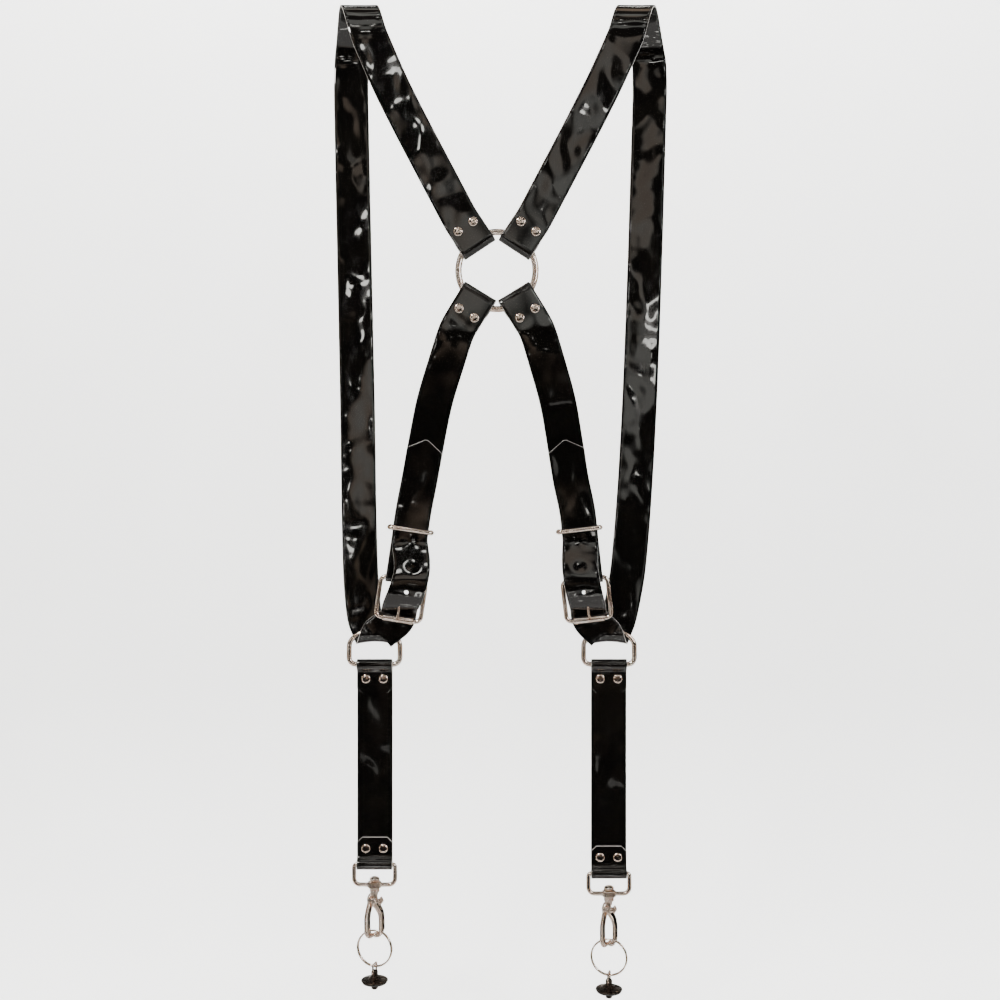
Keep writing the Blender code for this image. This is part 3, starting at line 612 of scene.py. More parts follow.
def ribbon(stations, still=(), dents=(), creases=()):
    """A strap's mesh along its stations, with waves, dents, and rounded cut edges."""
    bm = bmesh.new()
    rows = []
    last = len(stations) - 1
    for i, (point, guide, half) in enumerate(stations):
        ahead = (stations[min(i + 1, last)].point - stations[max(i - 1, 0)].point).normalized()
        side = (guide - ahead * guide.dot(ahead)).normalized()
        out = side.cross(ahead)
        front = smooth_step((abs(out.y) - 0.5) / 0.4) * (-1 if out.y > 0 else 1)
        row = []
        for u, v in section(half):
            place = point + side * u
            lift = front * (wave_at(place, still) + CROWN * (0.5 - (u / STRAP_HALF)**2))
            row.append(bm.verts.new(place + out * (v + lift) + dent_at(place, dents, creases)))
        rows.append(row)
    for a, b in zip(rows, rows[1:]):
        for k, face in enumerate(band(bm, a, b)):
            face.material_index = 1 if k in EDGE_SPANS else 0
    for row in (rows[0], rows[-1]):
        bm.faces.new(row).material_index = 1
    bmesh.ops.recalc_face_normals(bm, faces=bm.faces)
    made = mesh_from("ribbon", bm)
    made.materials.append(MATERIALS["patent_pvc"])
    made.materials.append(EDGE_GREY_AND_PAINTED_SHEEN)
    return smooth(made, 50)


def filled(stations, spacing=ROW):
    """The same line with rows added wherever two stations are far apart."""
    made = []
    for a, b in zip(stations, stations[1:]):
        count = max(1, round((b.point - a.point).length / spacing))
        for k in range(count):
            t = k / count
            made.append(Station(a.point.lerp(b.point, t), a.guide.lerp(b.guide, t),
                                a.half + (b.half - a.half) * t))
    made.append(stations[-1])
    return made


def eased(stations, passes=6):
    """The same line with the kinks between its parts relaxed; tight folds keep their shape."""
    points = [s.point for s in stations]
    for _ in range(passes):
        moved = list(points)
        for i in range(1, len(points) - 1):
            near = min((points[i] - points[i - 1]).length, (points[i + 1] - points[i]).length)
            if near > 0.6 * ROW:
                moved[i] = points[i] * 0.5 + (points[i - 1] + points[i + 1]) * 0.25
        points = moved
    return [s._replace(point=p) for s, p in zip(stations, points)]


def stations(points):
    return [Station(point, X, STRAP_HALF) for point in points]


def folded_end(centre, along, side, outward, radius, near, far, flap, clip=0.6 * MM):
    """A strap end folded round a wire: the flap's tip first, the main layer last."""
    def place(s, n, half=STRAP_HALF):
        return Station(centre + along * s + outward * n, side, half)

    inner = radius - LAYER
    ramp = far + RAMP
    made = [place(flap, inner, STRAP_HALF - clip), place(flap - clip, inner), place(ramp, inner)]
    for k in range(1, RAMP_STEPS):
        drop = (1 - cos(pi * k / RAMP_STEPS)) / 2
        made.append(place(ramp - RAMP * k / RAMP_STEPS, inner - (radius + inner) * drop))
    made.append(place(far, -radius))
    for k in range(FOLD_STEPS + 1):
        a = pi * k / FOLD_STEPS
        made.append(place(near - radius * sin(a), -radius * cos(a)))
    made.append(place(far, radius))
    return made


# -------- where each strap lies
def ring_end(side, loop):
    """A strap's fold on the back ring, where the strap leaves it, and its rivets."""
    along = Vector((side.out(sin(loop.lean)), 0, loop.rise * cos(loop.lean)))
    across = Vector((cos(loop.lean), 0, -side.sign * loop.rise * sin(loop.lean)))
    centre = RING + across * side.out(loop.offset)
    line = folded_end(centre, along, across, -Y, RING_LOOP, loop.near, LOOP_FAR, LOOP_FLAP)
    leave = centre + along * LOOP_END - Y * RING_LOOP
    rivets = centre + along * LOOP_RIVETS - Y * (RING_LOOP - LAYER / 2)
    return line, leave, rivets, across


def over_shoulder(side):
    """The strap's centreline over the shoulder, from the front to the back."""
    front, top, back = (x * MM for x in OVER_X[side.name])
    line = []
    spans = 48
    for k in range(spans + 1):
        t = k / spans
        x = front * (1 - t) * (1 - 2 * t) + top * 4 * t * (1 - t) + back * t * (2 * t - 1)
        line.append(Vector((side.out(x), -OVER_R * cos(pi * t), POLE_Z + OVER_R * sin(pi * t))))
    return line


def bight(side):
    """The helical U that carries the D-ring, from the chest side to the front."""
    half_shift = pi * BIGHT_R * tan(BIGHT_LEAN) / 2
    line = []
    steps = 24
    for k in range(steps + 1):
        t = k / steps
        x = abs(side.bar.x) + half_shift * (1 - 2 * t)
        z = side.bar.z + BIGHT_RISE - BIGHT_R * sin(pi * t)
        line.append(Vector((side.out(x), BIGHT_R * cos(pi * t), z)))
    return line


def chest_line(side):
    """From the shoulder down to the D-ring's bight."""
    entry = bight(side)[0]
    points = [over_shoulder(side)[-1]]
    for x, drop in zip(CHEST_X[side.name], CHEST_DROPS):
        z = POLE_Z - drop * MM
        y = BIGHT_R + (OVER_R - BIGHT_R) * (z - entry.z) / (POLE_Z - entry.z)
        points.append(Vector((side.out(x * MM), y, z)))
    lead = 14 * MM
    points += [entry + Vector((side.out(lead * tan(BIGHT_LEAN)), 0.6 * MM, lead)), entry]
    return through(points, ROW)[1:-1]


def back_line(side):
    """The back strap's main layer from the ring's lower loop to the straight belt."""
    _, leave, _, _ = ring_end(side, LOWER_LOOP)
    shift = (abs(side.heel.x) - BACK_WIDTH) * BACK_SHARE
    turn = LOWER_LOOP.lean - BACK_TURN
    points = [leave, leave + Vector((side.out(sin(turn)), 0, -cos(turn))) * BACK_LEAD]
    for x, drop in BACK_LINE:
        t = smooth_step((drop - BACK_FROM) / BACK_OVER)
        y = leave.y + (side.heel.y - HEEL_LOOP - leave.y) * t
        points.append(Vector((side.out(x * MM + shift * t), y, RING.z - drop * MM)))
    points += [side.belt(s * MM, HEEL_LOOP) for s in (62, 40, 18)]
    return through(points, ROW)


def at_height(line, z):
    """The point of a falling or rising line at one height."""
    for a, b in zip(line, line[1:]):
        if min(a.z, b.z) <= z <= max(a.z, b.z) and a.z != b.z:
            return a.lerp(b, (z - a.z) / (b.z - a.z))
    raise ValueError("the line doesn't reach this height")


def free_line(side):
    """The strap's free end, from the bight up through the buckle to the start of its tip."""
    leave = bight(side)[-1]
    points = [leave] + [side.belt(s * MM, n * MM, k * BULGE[side.name]) for s, n, k in FREE_END]
    line = through(points, 0.75 * ROW)[1:]
    above = [p - Y * (LAYER + 0.15 * MM) for p in reversed(back_line(side))]
    line += [p for p in above if line[-1].z + 4 * MM < p.z < TIP_Z - TIP_L - 3 * MM]
    line.append(at_height(above, TIP_Z - TIP_L))
    return line, at_height(above, TIP_Z)


def hole_places(side):
    """Where the adjusting holes pierce the free end, each with the strap's own normal."""
    line, _ = free_line(side)
    places = []
    for s in HOLE_S:
        z = side.belt(s, 0).z
        ahead = (at_height(line, z + 2 * MM) - at_height(line, z - 2 * MM)).normalized()
        places.append(upright_on(at_height(line, z), ahead.cross(X).normalized()))
    return places


# -------- straps
def rivet_centres(centre, side):
    return [centre + side * RIVET_SPREAD * k for k in (-1, 1)]


def rivet_dents(centre, side, outward):
    """Each rivet draws the two layers of its fold together."""
    made = []
    for place in rivet_centres(centre, side):
        for k in (-1, 1):
            made.append(Dent(place + outward * (k * LAYER / 2), outward * -k, 0.2 * MM, 5.5 * MM))
    return made


def fittings_near(side):
    """The places where the buckle, the keeper and the rings hold the straps flat."""
    keeper = middle_of(f"{side.name}_keeper_loop")
    return [(RING, RING_R + 12 * MM), (keeper, 16 * MM), (side.heel, 34 * MM),
            (side.roller, 20 * MM), (side.swing, 20 * MM), (side.belt(22 * MM, 0), 24 * MM)]


def shoulder_strap(side):
    line, leave, rivets, across = ring_end(side, UPPER_LOOP)
    over = over_shoulder(side)
    front = [leave, Vector((side.out(FRONT_X), FRONT_Y, RING.z + FRONT_RISE)), over[0]]
    line += stations(through(front, ROW)[:-1] + over + chest_line(side) + bight(side))
    free, apex = free_line(side)
    line += stations(free)
    line.append(Station(apex, X, 1.5 * MM))
    dents = rivet_dents(rivets, across, -Y)
    holes = hole_places(side)
    dents += [Dent(place.translation, Y, 0.35 * MM, 5 * MM) for place in holes]
    creases = [Crease(side.belt(s * MM, n * MM), side.up, d * MM, 0.8 * MM)
               for s, n, d in ((-19.5, 7.4, 0.3), (-16.5, 8.7, 0.22), (-11, 10.2, 0.26))]
    skin = ribbon(eased(filled(line)), fittings_near(side), dents, creases)
    prong = axes_matrix(side.belt(-24.5 * MM, 4.9 * MM), side.across, -Y, side.up)
    cutters = [(place, HOLE_R, HOLE_R, 4 * MM) for place in holes]
    cutters.append((prong, 1.9 * MM, 2.2 * MM, 13 * MM))
    add(f"{side.name}_shoulder_strap_skin", cut(skin, cutters), "strap_web", "patent_pvc",
        replaces=[f"{side.name}_shoulder_strap"])
    rivet_pair(side, "upper_ring", rivets, across, -Y, "strap_web")


def back_strap(side):
    line, _, rivets, across = ring_end(side, LOWER_LOOP)
    line += stations(back_line(side))
    fold = folded_end(side.heel, side.up, side.across, -Y, HEEL_LOOP, 0, 1.5 * MM, 28 * MM)
    line += list(reversed(fold[:-1]))
    low = side.belt(20 * MM, HEEL_LOOP - LAYER / 2)
    dents = rivet_dents(rivets, across, -Y) + rivet_dents(low, side.across, Y)
    skin = ribbon(eased(filled(line)), fittings_near(side), dents)
    slot = axes_matrix(side.belt(1 * MM, 0), side.across, side.up, Y)
    add(f"{side.name}_back_strap_skin", cut(skin, [(slot, 1.8 * MM, 7 * MM, 13 * MM)]),
        "strap_web", "patent_pvc", replaces=[f"{side.name}_back_strap"])
    rivet_pair(side, "lower_ring", rivets, across, -Y, "strap_web")
    rivet_pair(side, "heel", low, side.across, Y, "strap_web")


def drop_strap(side):
    """The short strap between the D-ring's bar and the swivel eye's bar."""
    radius = D_WIRE + 0.35 * MM + STRAP_T / 2
    clip = 4.5 * MM
    top = folded_end(side.bar, -Z, X, Y, radius, 0, 1.5 * MM, 25.8 * MM, clip)
    bottom = folded_end(side.eye, Z, X, Y, radius, 0, 1.5 * MM, 24 * MM, clip)
    line = top + list(reversed(bottom))
    centres = {"top": side.bar - Z * 13 * MM, "bottom": side.eye + Z * 14.2 * MM}
    dents = []
    for word, centre in centres.items():
        centre = centre + Y * (radius - LAYER / 2)
        dents += rivet_dents(centre, X, -Y)
        rivet_pair(side, f"drop_{word}", centre, X, -Y, f"{side.name}_drop")
    still = [(side.bar, 60 * MM), (side.eye, 60 * MM)]
    fit(side, "drop_strap_skin", ribbon(eased(filled(line)), still, dents), "drop",
        "patent_pvc", None, "drop_strap")


def rivet_pair(side, word, centre, across, outward, body):
    """Two cap rivets; each has a nearly flat crown, a rounded shoulder and a washer behind."""
    top = 2.05 * MM
    dome = 1.95 * MM
    profile = [(0, top + dome)]
    profile += [(RIVET_CAP * r, top + dome * h)
                for r, h in ((0.35, 0.99), (0.6, 0.96), (0.7, 0.93), (0.78, 0.88), (0.85, 0.8),
                             (0.91, 0.68), (0.96, 0.52), (0.99, 0.34), (1.0, 0.18), (0.97, 0.0))]
    profile += [(RIVET_SHANK, top), (RIVET_SHANK, -top)]
    profile += rounded([(RIVET_SHANK, -top), (RIVET_BACK, -top), (RIVET_BACK, -top - 0.9 * MM),
                        (2.2 * MM, -top - 0.9 * MM), (1.9 * MM, -top - 0.6 * MM),
                        (0, -top - 0.6 * MM)], 0.4 * MM)[1:]
    for name, place in zip(("inner", "outer"), rivet_centres(centre, across)):
        node = f"{side.name}_{word}_rivet_{name}"
        add(f"{node}_cap", turned_mesh(profile, 36), body, "nickel", upright_on(place, outward),
            [node])


# -------- ring, buckle, keeper and D-ring
def back_ring():
    """A round ring of wire, a little thicker at its welded seam."""
    steps = 160
    seam = [1 + 0.035 * exp(-((k - steps / 2) / 1.1)**2) for k in range(steps)]
    wire = wire_mesh(in_xz(circle(RING_R, steps)), RING_WIRE, True, 8, seam)
    add("back_ring_wire", wire, "back_ring", "nickel", Matrix.Translation(RING), ["back_ring"])


def buckle(side):
    place = axes_matrix(side.heel, side.across, Y, side.up)
    low = -(side.heel - side.roller).length
    c = BUCKLE_CORNER
    flat = BUCKLE_HALF - c
    outline = (arc(flat, -c, c, c, 90, 0, 12) + arc(flat, low + c, c, c, 0, -90, 12)
               + arc(-flat, low + c, c, c, 270, 180, 12) + arc(-flat, -c, c, c, 180, 90, 12))
    add(f"{side.name}_buckle_frame_wire", wire_mesh(in_xz(outline), BUCKLE_WIRE, True, 7),
        "strap_web", "nickel", place, [f"{side.name}_buckle_frame"])

    half = flat - 1.5 * MM
    lip = 0.5 * MM
    tube = [(2.3 * MM, half - lip), (ROLLER_R - lip, half), (ROLLER_R, half - lip),
            (ROLLER_R * 0.985, half - 2.2 * lip), (ROLLER_R * 0.985, 2.2 * lip - half),
            (ROLLER_R, lip - half), (ROLLER_R - lip, -half), (2.3 * MM, lip - half),
            (2.3 * MM, half - lip)]
    fit(side, "buckle_roller_tube", turned_mesh(tube, 40), "roller", "nickel",
        axes_matrix(side.roller, Y, side.up, side.across), "buckle_roller")

    turn = BUCKLE_WIRE + GAP + PRONG_WIRE
    curl = [Vector((0, -turn * cos(radians(a)), turn * sin(radians(a))))
            for a in range(205, -1, -9)]
    rest = ROLLER_R + 0.4 * MM + PRONG_WIRE
    reach = [Vector((0, -rest, low + z * MM)) for z in (6, 4, 2, 0.5, -1.0, -1.5)]
    points = curl + reach
    taper = [1.0] * (len(points) - 3) + [0.97, 0.86, 0.6]
    fit(side, "buckle_prong_wire", wire_mesh(points, PRONG_WIRE, False, 5, taper), "prong",
        "nickel", place, "buckle_prong")


def keeper(side):
    """A bent wire loop, thicker where its two ends meet at a corner."""
    low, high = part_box(f"{side.name}_keeper_loop")
    deep = (high.y - low.y) / 2 - KEEPER_WIRE
    wide = STRAP_HALF + 0.5 * MM + KEEPER_WIRE
    points = [Vector((u, v, 0)) for u, v in rounded_box(wide, -deep, deep, 2.6 * MM, 10)]
    knob = [1.12 if 21 <= k <= 24 else 1.0 for k in range(len(points))]
    fit(side, "keeper_wire", wire_mesh(points, KEEPER_WIRE, True, 6, knob), "keeper", "nickel",
        axes_matrix((low + high) / 2, side.across, Y, side.up), "keeper_loop")


def d_ring(side):
    c = 6 * MM
    flat = D_HALF - c
    outline = (arc(-flat, c, c, c, 180, 270, 12) + arc(flat, c, c, c, -90, 0, 12)
               + arc(0, 16 * MM, D_HALF, 14 * MM, 0, 180, 56))
    fit(side, "d_ring_wire", wire_mesh(in_xz(outline), D_WIRE, True, 7), "d_ring", "nickel",
        Matrix.Translation(side.bar), "d_ring")


# -------- swivel eye and snap hook
EYE_HALF = 18.3 * MM
EYE_DROP = 18 * MM
BOSS_R = 6.2 * MM
BOSS_HALF = 2.8 * MM
FLUTES = 12
FLUTE_DEPTH = 0.7 * MM
ARM_HALF_T = 1.3 * MM
JAW_HALF_T = 1.15 * MM
ARM_HALF_W = 3.6 * MM
ARM_TIP_W = 1.6 * MM
THUMB_HALF_W = 3.2 * MM
ARM_Y = 1.5 * MM  # how far the arm lies behind the hook's middle, and the jaw before
HOOK_GRAIN = 0.24 * MM
JAW_OPEN = 3.7 * MM  # radius of the round end of the jaws' opening
JAW_U_Z = -57.7 * MM
PIVOT_SIDE = -3.0 * MM
PIVOT_DROP = 31.5 * MM
PIVOT = Vector((PIVOT_SIDE, 0, -PIVOT_DROP))  # in the hook's frame, below the eye's bar


def facing_front(x, y, z):
    """A frame in the hook whose Z points to its front, for a disc on its cheek."""
    return axes_matrix(Vector((x * MM, y * MM, z * MM)), X, Z, -Y)


def jaw_round(start, end, count):
    """The round end of one jaw, in degrees: its centreline and its half widths."""
    line, widths = [], []
    for i in range(count + 1):
        a = radians(start + (end - start) * i / count)
        width = ARM_TIP_W + (ARM_HALF_W - ARM_TIP_W) * abs(cos(a))
        reach = JAW_OPEN + width
        line.append(Vector((reach * cos(a), 0, JAW_U_Z + reach * sin(a))))
        widths.append(width)
    widths[-2:] = [0.8 * ARM_TIP_W, 0.6 * ARM_TIP_W]
    return line, widths


def flat_bar(points, widths, half_thickness):
    """A bent bar in the hook's plane, thinner than it is wide, with a half width at each point."""
    half_width = max(widths)
    data = wire_mesh(points, half_width, False, 7, [width / half_width for width in widths])
    data.transform(Matrix.Diagonal((1, half_thickness / half_width, 1, 1)))
    return data


def hook_line(corners, spacing=1 * MM):
    """A smooth line in the hook's plane, through corners (x, z) in mm."""
    return through([Vector((x * MM, 0, z * MM)) for x, z in corners], spacing)


def jaw_bar(corners, start, end, count, half_thickness):
    """One jaw: an arm through its corners, then its round end."""
    arm = hook_line(corners)
    line, widths = jaw_round(start, end, count)
    return flat_bar(arm + line, [ARM_HALF_W] * len(arm) + widths, half_thickness)


def flute(data, beyond):
    """Grip flutes round a turned mesh, cut only into what stands out beyond a radius."""
    for vertex in data.vertices:
        if vertex.co.xy.length > beyond:
            turn = atan2(vertex.co.y, vertex.co.x)
            depth = FLUTE_DEPTH * (0.5 + 0.5 * cos(FLUTES * turn))
            vertex.co.xy = vertex.co.xy * (1 - depth / vertex.co.xy.length)


def swivel_eye(side):
    c, top = 5.5 * MM, 2.5 * MM
    outline = (arc(EYE_HALF - top, -top, top, top, 90, 0, 8)
               + arc(EYE_HALF - c, c - EYE_DROP, c, c, 0, -90, 12)
               + arc(-EYE_HALF + c, c - EYE_DROP, c, c, 270, 180, 12)
               + arc(-EYE_HALF + top, -top, top, top, 180, 90, 8))
    boss = disc(BOSS_R, BOSS_HALF, 0.7 * MM, 96)
    flute(boss, 0.86 * BOSS_R)
    centre = Matrix.Translation((0, 0, -EYE_DROP))
    skin = cast(joined((wire_mesh(in_xz(outline), EYE_WIRE, True, 7), Matrix()),
                       (boss, centre)))
    skin = cut(skin, [(centre, 2.3 * MM, 2.3 * MM, 30 * MM)])
    fit(side, "swivel_eye_cast", skin, "eye", "nickel", Matrix.Translation(side.eye),
        "swivel_eye")


def post_mesh():
    """The hook's swivel post: a cap above the eye's boss, and a collar and neck below it."""
    clear = BOSS_HALF + 0.4 * MM
    cap_low, collar = clear - EYE_DROP, -clear - EYE_DROP
    cap, post, neck = 4.5 * MM, 1.9 * MM, 3.0 * MM
    profile = [(0, cap_low + 4.2 * MM), (2.8 * MM, cap_low + 3.8 * MM), (cap, cap_low + 2.4 * MM),
               (cap, cap_low + 1.3 * MM), (cap - 1.2 * MM, cap_low + 0.9 * MM),
               (cap - 1.2 * MM, cap_low), (post, cap_low), (post, collar),
               (cap - 1.2 * MM, collar), (cap - 1.2 * MM, collar - 0.9 * MM),
               (cap, collar - 1.3 * MM), (cap, collar - 3.0 * MM), (neck, collar - 4.0 * MM),
               (neck, collar - 6.6 * MM), (0, collar - 6.6 * MM)]
    return turned_mesh(rounded(profile, 0.3 * MM))


def hook_body(side):
    """The post, a round head and the fixed jaw, in the hook's own frame."""
    head = disc(5.6 * MM, 1.5 * MM, 0.8 * MM)
    bar = jaw_bar(((-3.0, -32), (-5.2, -38), (-7.3, -46), (-7.3, -57.5)), 183, 320, 28, ARM_HALF_T)
    skin = cast(joined((post_mesh(), Matrix()), (head, facing_front(-1.2, 1.7, -30.8)),
                       (bar, Matrix.Translation((0, ARM_Y, 0)))), HOOK_GRAIN)
    fit(side, "hook_body_cast", skin, "hook", "nickel", turned_about(side.eye, side.hook_yaw),
        "hook_body")


def hook_jaw(side):
    """The sprung jaw with its thumb lever, in the hook's own frame."""
    hub = disc(3.2 * MM, 1.2 * MM, 0.5 * MM)
    bar = jaw_bar(((-3, -32), (2.0, -37.5), (6.5, -45.5), (7.3, -57.5)), -3, -108, 22, JAW_HALF_T)
    lever = hook_line(((-1.5, -32.2), (4.2, -34.2), (8.2, -32.2)), 0.4 * MM)
    ribs = [THUMB_HALF_W * (0.9 + 0.1 * (k % 4 > 1)) for k in range(len(lever))]
    thumb = flat_bar(lever, ribs, JAW_HALF_T)
    back = Matrix.Translation((0, -ARM_Y, 0))
    skin = cast(joined((hub, facing_front(PIVOT_SIDE / MM, -ARM_Y / MM, -PIVOT_DROP / MM)),
                       (bar, back), (thumb, back)), HOOK_GRAIN)
    fit(side, "hook_jaw_cast", skin, "jaw", "nickel", turned_about(side.eye, side.hook_yaw),
        "hook_jaw")


def pivot_place(side):
    """The pin's frame: Z along the pin, towards the hook's front."""
    return turned_about(side.eye, side.hook_yaw) @ axes_matrix(PIVOT, X, Z, -Y)


def hook_pin(side):
    front, rear, pin = 4.6 * MM, -3.5 * MM, 1.4 * MM
    profile = [(0, front + 1.3 * MM), (1.8 * MM, front + 1.0 * MM), (2.6 * MM, front),
               (pin, front), (pin, rear), (2.5 * MM, rear), (2.5 * MM, rear - 0.8 * MM),
               (0, rear - 0.8 * MM)]
    fit(side, "hook_rivet", turned_mesh(rounded(profile, 0.35 * MM)), "hook", "nickel",
        pivot_place(side), "hook_pin")


def hook_spring(side):
    """A torsion spring round the pin, between the jaw and the pin's head."""
    coil, turns, low, rise = 2.2 * MM, 1.25, 3.15 * MM, 0.5 * MM
    count = 60
    line = []
    for k in range(count + 1):
        a = radians(60) + 2 * pi * turns * k / count
        line.append(Vector((coil * cos(a), coil * sin(a), low + rise * turns * k / count)))
    line.insert(0, line[0] + Vector((3.2 * MM, -2.4 * MM, 0)))
    line.append(line[-1] + Vector((-7.5 * MM, 2.6 * MM, 0)))
    fit(side, "hook_spring_wire", wire_mesh(line, 0.3 * MM, False, 3), "hook", "spring_steel",
        pivot_place(side), "hook_spring")


# -------- split ring and camera screw
SPLIT_R = 15.9 * MM
SPLIT_PITCH = 1.7 * MM
BAIL_DEPTH = 8.5 * MM
BAIL_HALF = 4.3 * MM
FLANGE_TOP = -5.6 * MM
FLANGE_T = 1.0 * MM
STUD_L = 7.4 * MM


def split_ring(side):
    """Nearly two close turns of wire that hang from the hook's jaws."""
    count = 96
    line = []
    for k in range(int(2 * count * 0.962)):
        a = radians(100) + 2 * pi * k / count
        line.append(Vector((SPLIT_R * cos(a), SPLIT_PITCH * (k / count - 1),
                            SPLIT_R * sin(a) - SPLIT_R)))
    fit(side, "split_ring_wire", wire_mesh(line, SPLIT_WIRE, False, 5), "split", "nickel",
        turned_about(side.split, side.split_yaw), "split_ring")


def screw_bail(side):
    outline = rounded_box(BAIL_HALF, -BAIL_DEPTH, 0, 1.1 * MM, 8)
    points = [Vector((0, u, v)) for u, v in outline]
    fit(side, "screw_bail_wire", wire_mesh(points, BAIL_WIRE, True, 5), "bail", "nickel",
        turned_about(side.bail, side.split_yaw), "screw_bail")


def threaded_mesh(radius, top, length):
    """A stud along Z with a helical V thread and a chamfered tip."""
    steps, rows = 36, 56
    depth = 0.5 * MM
    bm = bmesh.new()
    rings = []
    for i in range(rows + 1):
        z = top - length * i / rows
        tip = max(0, 0.9 * MM - (z - top + length))
        ring = []
        for k, (u, v) in enumerate(circle(1, steps)):
            turn = z / THREAD_PITCH - k / steps
            groove = 1 - abs(2 * (turn % 1) - 1)
            r = min(radius - depth * groove, radius - tip)
            ring.append(bm.verts.new((r * u, r * v, z)))
        rings.append(ring)
    for a, b in zip(rings, rings[1:]):
        band(bm, a, b)
    bm.faces.new(rings[0])
    bm.faces.new(rings[-1])
    bmesh.ops.recalc_face_normals(bm, faces=bm.faces)
    return smooth(mesh_from("thread", bm), 60)


def camera_screw(side):
    """A hat-shaped 1/4-20 camera screw: a crossed lug, a turned flange and a threaded stud."""
    place = turned_about(side.screw, side.split_yaw)
    seat = FLANGE_TOP - FLANGE_T
    lug, head = 3.0 * MM, 5.6 * MM
    profile = [(0, 3.2 * MM), (2.2 * MM, 2.9 * MM), (lug, 1.8 * MM), (lug, -2.4 * MM),
               (head, -4.2 * MM), (0.8 * FLANGE_R, FLANGE_TOP + 0.6 * MM),
               (0.93 * FLANGE_R, FLANGE_TOP + 0.15 * MM), (FLANGE_R, FLANGE_TOP),
               (FLANGE_R, seat), (STUD_R - 0.5 * MM, seat), (STUD_R - 0.5 * MM, seat - 1 * MM),
               (0, seat - 1 * MM)]
    across = axes_matrix(Vector((0, 0, 0)), Z, X, Y)
    bore = BAIL_WIRE + 0.25 * MM
    body = cut(turned_mesh(rounded(profile, 0.4 * MM), 64), [(across, bore, bore, 12 * MM)])
    fit(side, "camera_screw_head", body, "screw", "dark_screw", place, "camera_screw")
    fit(side, "camera_screw_thread", threaded_mesh(STUD_R, seat, STUD_L), "screw", "dark_screw",
        place)
    washer_r, washer_t = 11.0 * MM, 1.5 * MM
    top = seat - GAP
    hole = STUD_R + 0.4 * MM
    ring = [(hole, top - 0.2 * MM), (hole + 0.2 * MM, top), (washer_r - 0.3 * MM, top),
            (washer_r, top - 0.3 * MM), (washer_r, top - washer_t + 0.3 * MM),
            (washer_r - 0.3 * MM, top - washer_t), (hole + 0.2 * MM, top - washer_t),
            (hole, top - washer_t + 0.2 * MM), (hole, top - 0.2 * MM)]
    fit(side, "rubber_washer_ring", turned_mesh(ring, 64), "screw", "washer_rubber", place,
        "rubber_washer")


# -------- studio
CAMERA_AT = Vector((0.0026, -1.13, 0.0033))
LENS = 45.5
BACKDROP_Y = 0.42
BACKDROP_HALF = 2.4
BACKDROP_TOP = 2.6  # its height above the floor
FLOOR_DROP = 0.035  # floor below the harness
FLOOR_NEAR = -0.75
SWEEP_R = 0.25
ROOM_WARM = (0.62, 0.46, 0.34)
ROOM_COOL = (0.82, 0.82, 0.76)
ROOM_DARK = (0.006, 0.005, 0.005)
ROOM_FLOOR = (0.62, 0.6, 0.57)
ROOM_LAMP = (11.0, 10.8, 10.2)
PAPER_WHITE = (0.8, 0.8, 0.79)


def pale_paper():
    """Plain paper that is clear from behind, so that views from the back aren't blocked."""
    made, nodes, shader, coords = begin("pale_paper")
    grain = nodes.noise(coords, 14, 3)
    nodes.feed(shader, Base_Color=nodes.mix(grain, (0.80, 0.80, 0.79), (0.86, 0.86, 0.85)),
               Roughness=0.85, Emission_Color=(1, 1, 1, 1), Emission_Strength=0.7)
    either = nodes.new("ShaderNodeMixShader")
    nodes.link(nodes.new("ShaderNodeNewGeometry").outputs["Backfacing"], either.inputs[0])
    nodes.link(shader.outputs["BSDF"], either.inputs[1])
    nodes.link(nodes.new("ShaderNodeBsdfTransparent").outputs["BSDF"], either.inputs[2])
    nodes.link(either.outputs["Shader"], made.node_tree.nodes["Material Output"].inputs["Surface"])
    return made


def sweep():
    """A pale floor that curves up into the backdrop."""
    floor = CAD_BOX[0].z - FLOOR_DROP
    turns = [radians(a) for a in range(0, 91, 6)]
    line = [(FLOOR_NEAR, floor)]
    line += [(BACKDROP_Y - SWEEP_R + SWEEP_R * sin(a), floor + SWEEP_R * (1 - cos(a)))
             for a in turns]
    line.append((BACKDROP_Y, floor + BACKDROP_TOP))
    bm = bmesh.new()
    rows = [[bm.verts.new((x, y, z)) for x in (-BACKDROP_HALF, BACKDROP_HALF)] for y, z in line]
    for a, b in zip(rows, rows[1:]):
        bm.faces.new((a[0], a[1], b[1], b[0]))
    made = put("sweep", smooth(mesh_from("sweep", bm), 60))
    made.data.materials.append(pale_paper())
    made.visible_glossy = False


def softbox(name, place, aim, size, power, tint, mirrored=True):
    """A soft light; only the mirrored ones show in the gloss."""
    data = bpy.data.lights.new(name, "AREA")
    data.shape = "RECTANGLE"
    data.size, data.size_y = size
    data.energy = power
    data.color = tint
    made = put(name, data)
    made.visible_glossy = mirrored
    made.location = place
    made.rotation_euler = (Vector(aim) - Vector(place)).to_track_quat("-Z", "Y").to_euler()


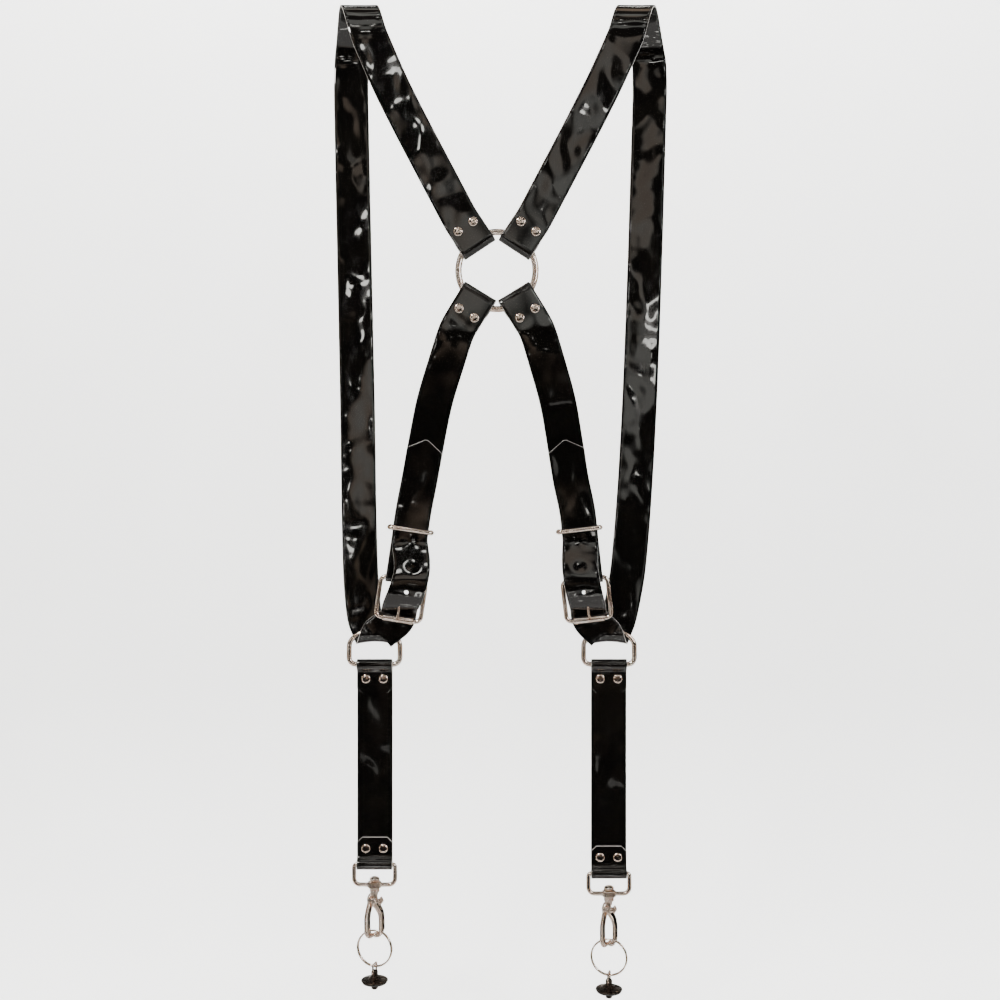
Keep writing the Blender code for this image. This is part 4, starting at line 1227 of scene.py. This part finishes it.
def surroundings():
    """A dim room for the gloss to mirror: patches of light, a pale floor and a dark doorway."""
    world = bpy.data.worlds.new("room")
    bpy.context.scene.world = world
    world.use_nodes = True
    nodes = Nodes(world.node_tree)
    coords = nodes.new("ShaderNodeTexCoord").outputs["Generated"]
    tint = nodes.noise(coords, 2.3, 1)
    glow = nodes.mix(nodes.span(tint, 0, 1, 0.42, 0.58), ROOM_WARM, ROOM_COOL)
    patches = nodes.noise(coords, 5.0, 2, 0.5)
    way = nodes.new("ShaderNodeSeparateXYZ")
    nodes.link(coords, way.inputs["Vector"])
    frontal = nodes.span(way.outputs["Y"], 1, 0, -0.95, -0.82)
    doorway = nodes.times(frontal, nodes.span(way.outputs["Z"], 0.95, 0, -0.15, 0.03))
    clear = nodes.span(doorway, 1, 0, 0, 1)
    lit = nodes.times(clear, nodes.span(patches, 0, 1, 0.52, 0.585))
    below = nodes.span(way.outputs["Z"], 1, 0, -0.5, -0.38)
    room = nodes.mix(below, nodes.mix(lit, ROOM_DARK, glow), ROOM_FLOOR)
    lamps = nodes.noise(nodes.stretched(coords, (1, 1, 1.5)), 15, 0.5)
    lamps = nodes.times(clear, nodes.span(lamps, 0, 1, 0.725, 0.74))
    seen = nodes.new("ShaderNodeLightPath").outputs["Is Camera Ray"]
    nodes.feed(world.node_tree.nodes["Background"],
               Color=nodes.mix(seen, nodes.mix(lamps, room, ROOM_LAMP), PAPER_WHITE))


def studio():
    sweep()
    surroundings()
    softbox("key", (-0.9, -1.3, 1.3), (0, 0, 0), (0.42, 0.34), 22, (1.0, 0.97, 0.93))
    softbox("fill", (1.2, -1.0, 0.5), (0, 0, 0), (0.2, 0.8), 9, (0.95, 0.97, 1.0))
    softbox("top", (0, 0.0, 1.5), (0, 0.1, 0), (1.6, 0.9), 40, (1, 1, 1), False)
    softbox("wall", (0, -0.35, 1.25), (0, BACKDROP_Y, 0.1), (2.4, 0.5), 62, (1, 1, 1), False)
    data = bpy.data.cameras.new("camera")
    data.lens = LENS
    camera = put("camera", data)
    camera.location = CAMERA_AT
    camera.rotation_euler = (radians(90), 0, 0)
    bpy.context.scene.camera = camera


back_ring()
for one_side in SIDES:
    for build in (shoulder_strap, back_strap, buckle, keeper, d_ring, drop_strap, swivel_eye,
                  hook_body, hook_jaw, hook_pin, hook_spring, split_ring, screw_bail,
                  camera_screw):
        build(one_side)
studio()
